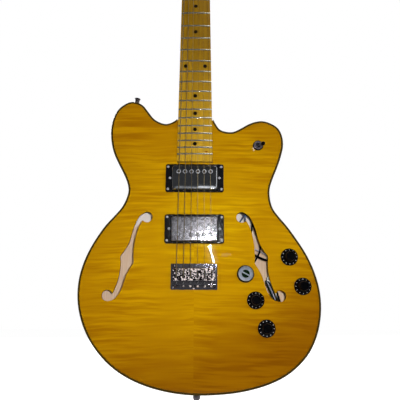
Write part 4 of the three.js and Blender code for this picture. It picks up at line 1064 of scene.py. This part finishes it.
def make_hardware():
    for name in ("horn", "tail"):
        place = outward("strap_button_" + name, 16)
        button = turned([(0, 0.3), (5.2, 0.3), (5.3, 3.2), (5.3, 5.9), (5, 6.8), (4.2, 7.7), (3.8, 9), (3.85, 10.6),
                         (4.2, 12.4), (4.8, 13.7), (5.1, 14.3), (5.05, 14.8), (4.8, 15), (2.9, 15), (2.7, 14.2),
                         (0, 14.2)], 40, place)
        screw = screw_head(2.6, 0.8, place @ at(0, -14.1, 0))
        piece("strap_peg_" + name, joined(button, screw), BODY, [dark_chrome_painted_reflection, steel], ["strap_button_" + name])
    place = outward("jack_face", 3.5 + 0.6)
    washer = turned([(4.7, 0.3), (8, 0.3), (8, 1), (7.9, 1.1), (4.7, 1.1)], 40, place)
    nut = turned([(4.7, 1.1), (7.2, 1.1), (7.2, 3.5), (4.7, 3.5)], 6, place)
    bush = turned([(3.25, -20), (3.25, 4.1), (4.4, 4.1), (4.7, 3.8), (4.7, 0.3), (4.7, -9), (9, -9), (9, -30),
                   (3.25, -30)], 32, place, 1)
    piece("jack_socket", joined(washer, soften(nut, 0.3, 2, 20), bush), BODY, [chrome, steel], ["output_jack"])
    z = middle("neck_plate").z
    plate = rounded_block((-25.5, 45, z - 32), (25.5, 47.2, z + 32), 5, 0.5)
    screws = [screw_head(4.2, 1.55, at(a * 19, 47.2, z + b * 25.5) @ about("X", pi))
              for a, b in CORNERS]
    piece("bolt_plate", joined(plate, *screws), BODY, [chrome, steel], ["neck_plate"])


make_hardware()


# Tuners

def make_tuners():
    first, last = middle("tuner_post_1"), middle("tuner_post_6")
    line = last - first
    slant = about("Y", atan2(line.x, line.z))
    for number in range(1, 7):
        node = f"tuner_post_{number}"
        place = over(node) @ slant
        case = soften(rounded_block((-9, 15.5, -8.5), (7, 27.5, 8.5), 2.5, 0), 1.2, 3, 60)
        collar = turned([(4, -1), (6.4, -1), (6.6, -0.6), (6.6, 0.6), (6.2, 1), (4, 1)], 6)
        bush = turned([(4, -15.5), (4.8, -15.5), (4.8, 0.9), (4.4, 1.2), (3.4, 1.2), (3.4, -15.5)], 32)
        piece(f"tuner_case_{number}", placed(joined(case, soften(collar, 0.25, 2, 20), bush), place), BODY, [chrome],
              [f"tuner_housing_{number}"])
        post = turned([(0, -24), (3, -24), (3, 3.5), (2.7, 4.2), (2.4, 5), (2.4, 6), (2.7, 6.8), (3, 7.6), (3, 11.6),
                       (2.6, 12), (0, 12)], 32)
        winds = []
        for k in range(3 * 16 + 1):
            turn = FULL_TURN * k / 16
            winds.append((2.9 * cos(turn), -5.5 + 1.6 - 1.1 * k / 16, 2.9 * sin(turn)))
        coils = tube(winds, max(STRING_SIZES[number - 1] / 2, 0.2), 0, look=1)
        piece(f"string_post_{number}", placed(joined(post, coils), place), node, [chrome, plain_string], [node])
        paddle = bmesh.new()
        bmesh.ops.create_uvsphere(paddle, u_segments=32, v_segments=16, radius=1)
        for vert in paddle.verts:
            square = 1 + 0.16 * (1 - abs(vert.co.x)) * vert.co.z * vert.co.z
            vert.co = (vert.co.x * 8.5, vert.co.y * 3.25, min(max(vert.co.z * 9 * square, -9), 9))
        placed(paddle, at(-29.5, 21.5, 0))
        stem = turned([(0, 4), (2.4, 4), (2.4, 9), (1.9, 9.6), (1.9, 17), (2.6, 20), (3, 24), (0, 24)], 24,
                      at(0, 21.5, 0) @ about("Z", pi / 2).inverted())
        piece(f"tuner_key_{number}", placed(joined(paddle, stem), place), f"tuner_button_{number}", [chrome],
              [f"tuner_button_{number}"])


make_tuners()


# Wires inside the body

BODY_WIDTH, BODY_LENGTH, BODY_END = 362.4, 450.7, -825.7


def inside(*places):
    """Points inside the body, from shares of its width, length and depth."""
    return [(x * BODY_WIDTH, depth * BODY_DEPTH, BODY_END + up * BODY_LENGTH) for x, up, depth in places]


def make_harness():
    routes = [
        (wire_blue, 1.4, inside(
            (0.278, 0.828, 0.709), (0.268, 0.756, 0.667), (0.248, 0.678, 0.6), (0.221, 0.6006, 0.5),
            (0.193, 0.5629, 0.467), (0.1545, 0.5385, 0.411), (0.11, 0.5327, 0.4))),
        (wire_blue, 1.3, inside(
            (0.11, 0.712, 0.4), (0.1545, 0.7094, 0.444), (0.207, 0.696, 0.556), (0.248, 0.678, 0.6))),
        (wire_black, 1.7, inside(
            (0.1545, 0.5385, 0.411), (0.193, 0.4875, 0.444), (0.259, 0.4502, 0.4), (0.3146, 0.432, 0.4),
            (0.38, 0.432, 0.396))),
        (wire_blue, 1.1, [(87, 21, -540), (79.5, 16, -553), (80, 15, -561.5), (79.5, 16, -568.5), (77, 20, -580)]),
        (wire_black, 1.5, [(65, 10, -558.9), (71, 10, -556.9), (77.7, 9, -558.9), (83, 9, -561.5), (88.9, 9, -569.4),
                          (91.4, 9, -577.3), (97.4, 9, -592.8), (102.4, 9, -606.3), (108.9, 9, -616.4),
                          (114.3, 9, -625.2), (113.8, 9, -634.5), (113.8, 9, -648), (116.4, 9, -658.8),
                          (120.4, 9, -670.8), (124.9, 9, -680.3), (129, 10, -694.2)]),
        (wire_black, 1.2, [(99, 11, -557), (93, 12, -567), (90.5, 13, -576), (89, 14, -585.5), (85.5, 18, -599)]),
        (wire_black, 1.1, [(113, 12, -586), (109.5, 12, -593.5), (103, 12, -604.5), (101.5, 14, -617),
                           (95.5, 16, -629.5), (87.5, 18, -642), (74.5, 17.5, -653.5)]),
        (grey_wire_and_capacitor_highlight, 0.7, [(88, 18, -612), (96.5, 17, -615), (105, 16, -619), (111, 16, -622), (120, 16, -627.5)]),
        (wire_white, 1.1, inside(
            (0.38, 0.432, 0.396), (0.419, 0.39, 0.422), (0.435, 0.341, 0.379), (0.392, 0.279, 0.422),
            (0.331, 0.23, 0.422), (0.287, 0.207, 0.379), (0.325, 0.183, 0.433))),
        (wire_white, 0.95, [(136.5, 17, -631.5), (127, 13, -646), (117, 12, -656), (111.5, 12.5, -660),
                            (115.5, 12.5, -664), (119, 12.5, -671.5), (123.5, 12.5, -680.5), (127.5, 12.5, -689.5),
                            (131, 17, -700)]),
        # A lilac-grey strip along the front of the capacitor: a painted highlight.
        (grey_wire_and_capacitor_highlight, 0.75, [(111, 14.2, -663), (117.5, 13.8, -677), (123, 14.2, -691)]),
    ]
    looks = [wire_black, wire_blue, wire_white, green_foil, grey_wire_and_capacitor_highlight]
    shapes = [tube(points, radius, 2, True, looks.index(look)) for look, radius, points in routes]
    start, end = Vector((111, 17, -661)), Vector((124.5, 17, -694))
    length = (end - start).length
    can = [(0, 0), (1.9, 0.2), (2.8, 1.2), (3.1, 3), (3.1, length - 3), (2.8, length - 1.2), (1.9, length - 0.2),
           (0, length)]
    shapes.append(turned(can, 24, at(*start) @ pointing(end - start), 3))
    piece("harness_wires", joined(*shapes), BODY, looks, ["wiring_harness"])


make_harness()


# Studio

ROOM = 0.03


def mirrored_room(nodes, places):
    """What gloss and metal see: white behind the guitar, and a dim room on the camera's side."""
    behind = nodes.axis(nodes.node("TexCoord", output=places), "Y").rise(-0.25, 0.15)
    return behind * (1 - ROOM) + ROOM


def pale_floor():
    """White to the camera but for the guitar's shadow, and like the room to gloss and metal."""
    material = bpy.data.materials.new("pale_floor")
    floor = Nodes(material)
    floor.tree.nodes.clear()
    seen = floor.ray("Camera").maths("MAXIMUM", floor.ray("Transmission"))
    plain = floor.node("BsdfDiffuse", inputs={"Color": (0.55, 0.55, 0.55)})
    glow = floor.node("Emission", inputs={"Strength": seen * 0.9})
    lit = floor.node("AddShader", inputs={0: plain, 1: glow})
    mirrored = floor.node("Emission", inputs={"Strength": mirrored_room(floor, "Object")})
    surface = floor.node("MixShader", inputs={0: floor.ray("Glossy"), 1: lit, 2: mirrored})
    floor.node("OutputMaterial", inputs={"Surface": surface})
    return material


def make_floor():
    shape = bmesh.new()
    bmesh.ops.create_grid(shape, x_segments=1, y_segments=1, size=6)
    bmesh.ops.translate(shape, vec=(0, 0, cad_box[0].z - 0.0003), verts=shape.verts)
    mesh = as_mesh("floor", shape)
    mesh.materials.append(pale_floor())
    floor = shown("floor", mesh)


def light_world():
    """White to the camera, the room to gloss and metal, and a low even light on the rest."""
    scene.world = bpy.data.worlds.new("studio")
    sky = Nodes(scene.world)
    sky.tree.nodes.clear()
    seen = sky.ray("Camera").maths("MAXIMUM", sky.ray("Transmission"))
    glossy = sky.ray("Glossy")
    even = (1 - seen.maths("MAXIMUM", glossy)) * 0.16
    strength = seen + glossy * mirrored_room(sky, "Generated") + even
    back = sky.node("Background", inputs={"Color": (1, 1, 1), "Strength": strength})
    sky.node("OutputWorld", inputs={"Surface": back})


def lamp(name, place, target, size, power, turn=0, only=None):
    """An area lamp, round or with two sizes, that may show only in gloss or not at all in it."""
    light = bpy.data.lights.new(name, "AREA")
    oblong = isinstance(size, tuple)
    light.shape = "RECTANGLE" if oblong else "DISK"
    light.size, light.size_y = size if oblong else (size, size)
    light.energy = power
    holder = shown(name, light)
    holder.matrix_world = looking(place, Vector(target) - Vector(place), turn)
    holder.visible_glossy = only != "light"
    holder.visible_diffuse = only != "gloss"


# Small lamps that show only in gloss, each straight before its target: name, x, how far behind the lens, z, size, power
# and turn. The wide ones stand behind the narrow ones, because lamps in one plane hide each other
GLOSS_CARDS = (
    ("streak", 0.045, 0, -0.523, (0.0028, 0.055), 0.24, 14),
    ("streak_head", 0.0395, 0, -0.503, (0.0075, 0.016), 0.16, 14),
    ("streak_glow", 0.045, 0.01, -0.523, (0.03, 0.06), 0.007, 14),
    ("soft_glare", 0.09, 0, -0.527, (0.03, 0.008), 0.0016),
    ("cover_corner", 0.05, 0, -0.485, 0.018, 0.003),
    ("cover_edge", 0.006, 0, -0.485, (0.1, 0.009), 0.006),
    ("cover_side", 0.035, 0.006, -0.455, (0.08, 0.09), 0.008),
    ("cover_sheen", -0.008, 0.01, -0.455, (0.16, 0.085), 0.013),
    ("neck_cover_edge", 0.03, -0.003, -0.322, (0.055, 0.0055), 0.0011),
    ("neck_cover_line", -0.02, 0, -0.324, (0.1, 0.005), 0.0006),
    ("neck_cover_sheen", -0.008, 0.01, -0.299, (0.15, 0.08), 0.0008),
    ("bridge_sheen", -0.008, 0.01, -0.595, (0.15, 0.09), 0.006),
    ("dial_sheen", 0.144, 0, -0.592, 0.04, 0.015),
    ("selector_glint", 0.182, 0, -0.187, 0.012, 0.004),
)


def light_lamps():
    lamp("soft_above", (0.6, -1.6, 1.35), (0, 0, -0.5), 1.0, 5)
    lamp("soft_right", (1.35, -1.2, 0.1), (0, 0, -0.6), 0.8, 3)
    lamp("flash", (0.052, -0.76, -0.693), (0.01, 0, -0.58), 0.008, 4, only="light")
    lamp("soft_behind", (-0.8, 1.8, 0.8), (0, 0, -0.45), 1.2, 50)
    lamp("fret_light", (0.28, LENS_Y, 1.3), (0, 0, -0.3), (0.2, 0.4), 2, only="gloss")
    lamp("string_glint", (0.42, -0.7, -0.29), (0, 0, -0.5), (0.06, 0.07), 0.08, only="gloss")
    for name, x, behind, z, size, power, *turn in GLOSS_CARDS:
        lamp(name, (x, LENS_Y - behind, z), (x, 0, z), size, power, *turn, only="gloss")


make_floor()
light_world()
light_lamps()
